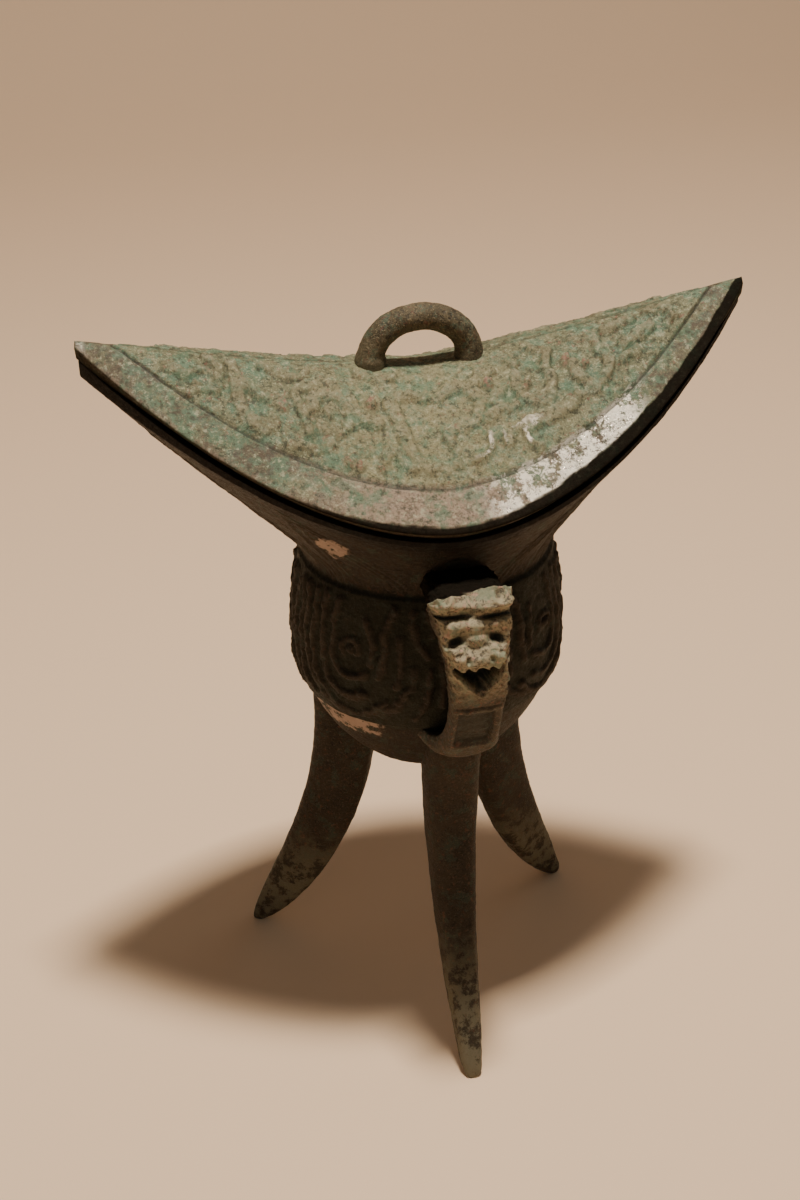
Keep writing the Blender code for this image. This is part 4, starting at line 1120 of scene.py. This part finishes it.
def handle_wear_light_and_shade(tree, here, colour, metal, gloss, patchy):
    """A paler crust with painted light on the lit front of the beast's head, earth in its hollows, and
    painted shade on the strap's top end by the cup, under the lid.
    """
    fine = cloud(here, 820, detail=5, roughness=0.72, offset=(0.9, 0.3, 3.2))
    flakes = cloud(here, 560, detail=5, roughness=0.7, offset=(4.4, 1.3, 0.2))
    lit = kept(tree, "lit")
    shade_under_lid = kept(tree, "shade_under_lid")
    crust = both(lit, between(fine, 0.40, 0.54, 0.15, 0.9))
    colour = coated(
        colour,
        (crust, HEAD_CRUST_AND_LIGHT),
        (both(lit, between(patchy, 0.50, 0.56, 0, 0.75)), HEAD_GREEN),
        (both(lit, between(flakes, 0.57, 0.62, 0, 0.8)), HEAD_PINK))
    colour = stained(colour, "groove", 0.9, SOIL)
    # Painted shade on the strap's top behind the crest, which is also made dull.
    colour = stained(colour, "shade_under_lid", 0.95, PAINTED_SHADE)
    metal = combined("SUBTRACT", combined("SUBTRACT", metal, crust), shade_under_lid)
    shader = tree.nodes["Principled BSDF"]
    tree.links.new(between(shade_under_lid, 0, 1, 0.5, 0.05), shader.inputs["Specular IOR Level"])
    return colour, metal, combined("ADD", gloss, shade_under_lid)


handle_patina_light_and_shade = patina(
    "handle_patina_light_and_shade", base=(0.030, 0.023, 0.015), pale=(0.072, 0.058, 0.037), green=(0.042, 0.058, 0.037),
    red=(0.16, 0.062, 0.040), greenness=0.03, redness=0.05, wear_and_painted_light=handle_wear_light_and_shade)
grip.data.materials.append(handle_patina_light_and_shade)
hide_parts("vessel")
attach(grip, "root")


# Floor and backdrop: one pale sheet that curves up behind, and soft studio light from above.
bpy.ops.object.select_all(action="DESELECT")
bpy.ops.mesh.primitive_grid_add(x_subdivisions=2, y_subdivisions=60, size=1)
floor = bpy.context.object
floor.name = "studio_floor"
FLOOR_HALF_WIDTH = 2.5
FLOOR_NEAR_Y = -1.6
FLOOR_BEND_Y = 0.9
FLOOR_BEND_RADIUS = 0.6
FLOOR_LENGTH = 5.0
flat_length = FLOOR_BEND_Y - FLOOR_NEAR_Y
turn_length = FLOOR_BEND_RADIUS * math.pi / 2
for vertex in floor.data.vertices:
    travel = (vertex.co.y + 0.5) * FLOOR_LENGTH
    turned = min(max((travel - flat_length) / turn_length, 0), 1) * math.pi / 2
    above = max(travel - flat_length - turn_length, 0)
    x = vertex.co.x * 2 * FLOOR_HALF_WIDTH
    y = FLOOR_NEAR_Y + min(travel, flat_length) + FLOOR_BEND_RADIUS * math.sin(turned)
    vertex.co = (x, y, FLOOR_BEND_RADIUS * (1 - math.cos(turned)) + above)
bpy.ops.object.shade_smooth()
floor_paint, _, floor_shader = shader_graph("pale_paper")
floor_shader.inputs["Base Color"].default_value = (0.96, 0.70, 0.47, 1)
floor_shader.inputs["Roughness"].default_value = 0.9
floor.data.materials.append(floor_paint)

for light_name, spot, aim, size, power in (
        ("overhead_softbox", (0.03, -0.09, 1.20), (0, 0, 0.15), 0.12, 16.0),
        ("front_fill", (-0.9, -1.5, 0.85), (0, 0, 0.1), 1.3, 1.7),
        ("side_fill", (1.3, 0.7, 0.8), (0, 0, 0.1), 1.0, 1.2)):
    bpy.ops.object.light_add(type="AREA", location=spot)
    lamp = bpy.context.object
    lamp.name = light_name
    lamp.data.size = size
    lamp.data.energy = power
    lamp.data.color = (1.0, 0.91, 0.80)
    lamp.rotation_euler = (Vector(aim) - Vector(spot)).to_track_quat("-Z", "Y").to_euler()
world = bpy.data.worlds.new("studio")
world.use_nodes = True
world.node_tree.nodes["Background"].inputs["Color"].default_value = (1.0, 0.93, 0.85, 1)
world.node_tree.nodes["Background"].inputs["Strength"].default_value = 0.10
bpy.context.scene.world = world

# Camera at the photograph's place: about 51 cm off, looking down by 30 degrees.
CAMERA_PLACE = (-97.3 * MM, -425.6 * MM + AXIS_Y, 378.05 * MM)
CAMERA_PITCH = math.radians(30.165)
CAMERA_YAW = math.radians(12.056)
CAMERA_ROLL = math.radians(-1.06)
CAMERA_FOCAL_PIXELS = 1815.7
CAMERA_SENSOR = 36
PHOTO_LONG_SIDE = 1200
bpy.ops.object.camera_add(location=CAMERA_PLACE)
camera = bpy.context.object
camera.data.sensor_width = CAMERA_SENSOR
camera.data.lens = CAMERA_SENSOR * CAMERA_FOCAL_PIXELS / PHOTO_LONG_SIDE
forward = Vector((
    math.sin(CAMERA_YAW) * math.cos(CAMERA_PITCH),
    math.cos(CAMERA_YAW) * math.cos(CAMERA_PITCH),
    -math.sin(CAMERA_PITCH)))
right = Vector((math.cos(CAMERA_YAW), -math.sin(CAMERA_YAW), 0))
up_way = right.cross(forward)
tilted_right = right * math.cos(CAMERA_ROLL) + up_way * math.sin(CAMERA_ROLL)
tilted_up = up_way * math.cos(CAMERA_ROLL) - right * math.sin(CAMERA_ROLL)
camera.rotation_mode = "QUATERNION"
camera.rotation_quaternion = Matrix((tilted_right, tilted_up, -forward)).transposed().to_quaternion()
camera.data.clip_start = 0.01
bpy.context.scene.camera = camera
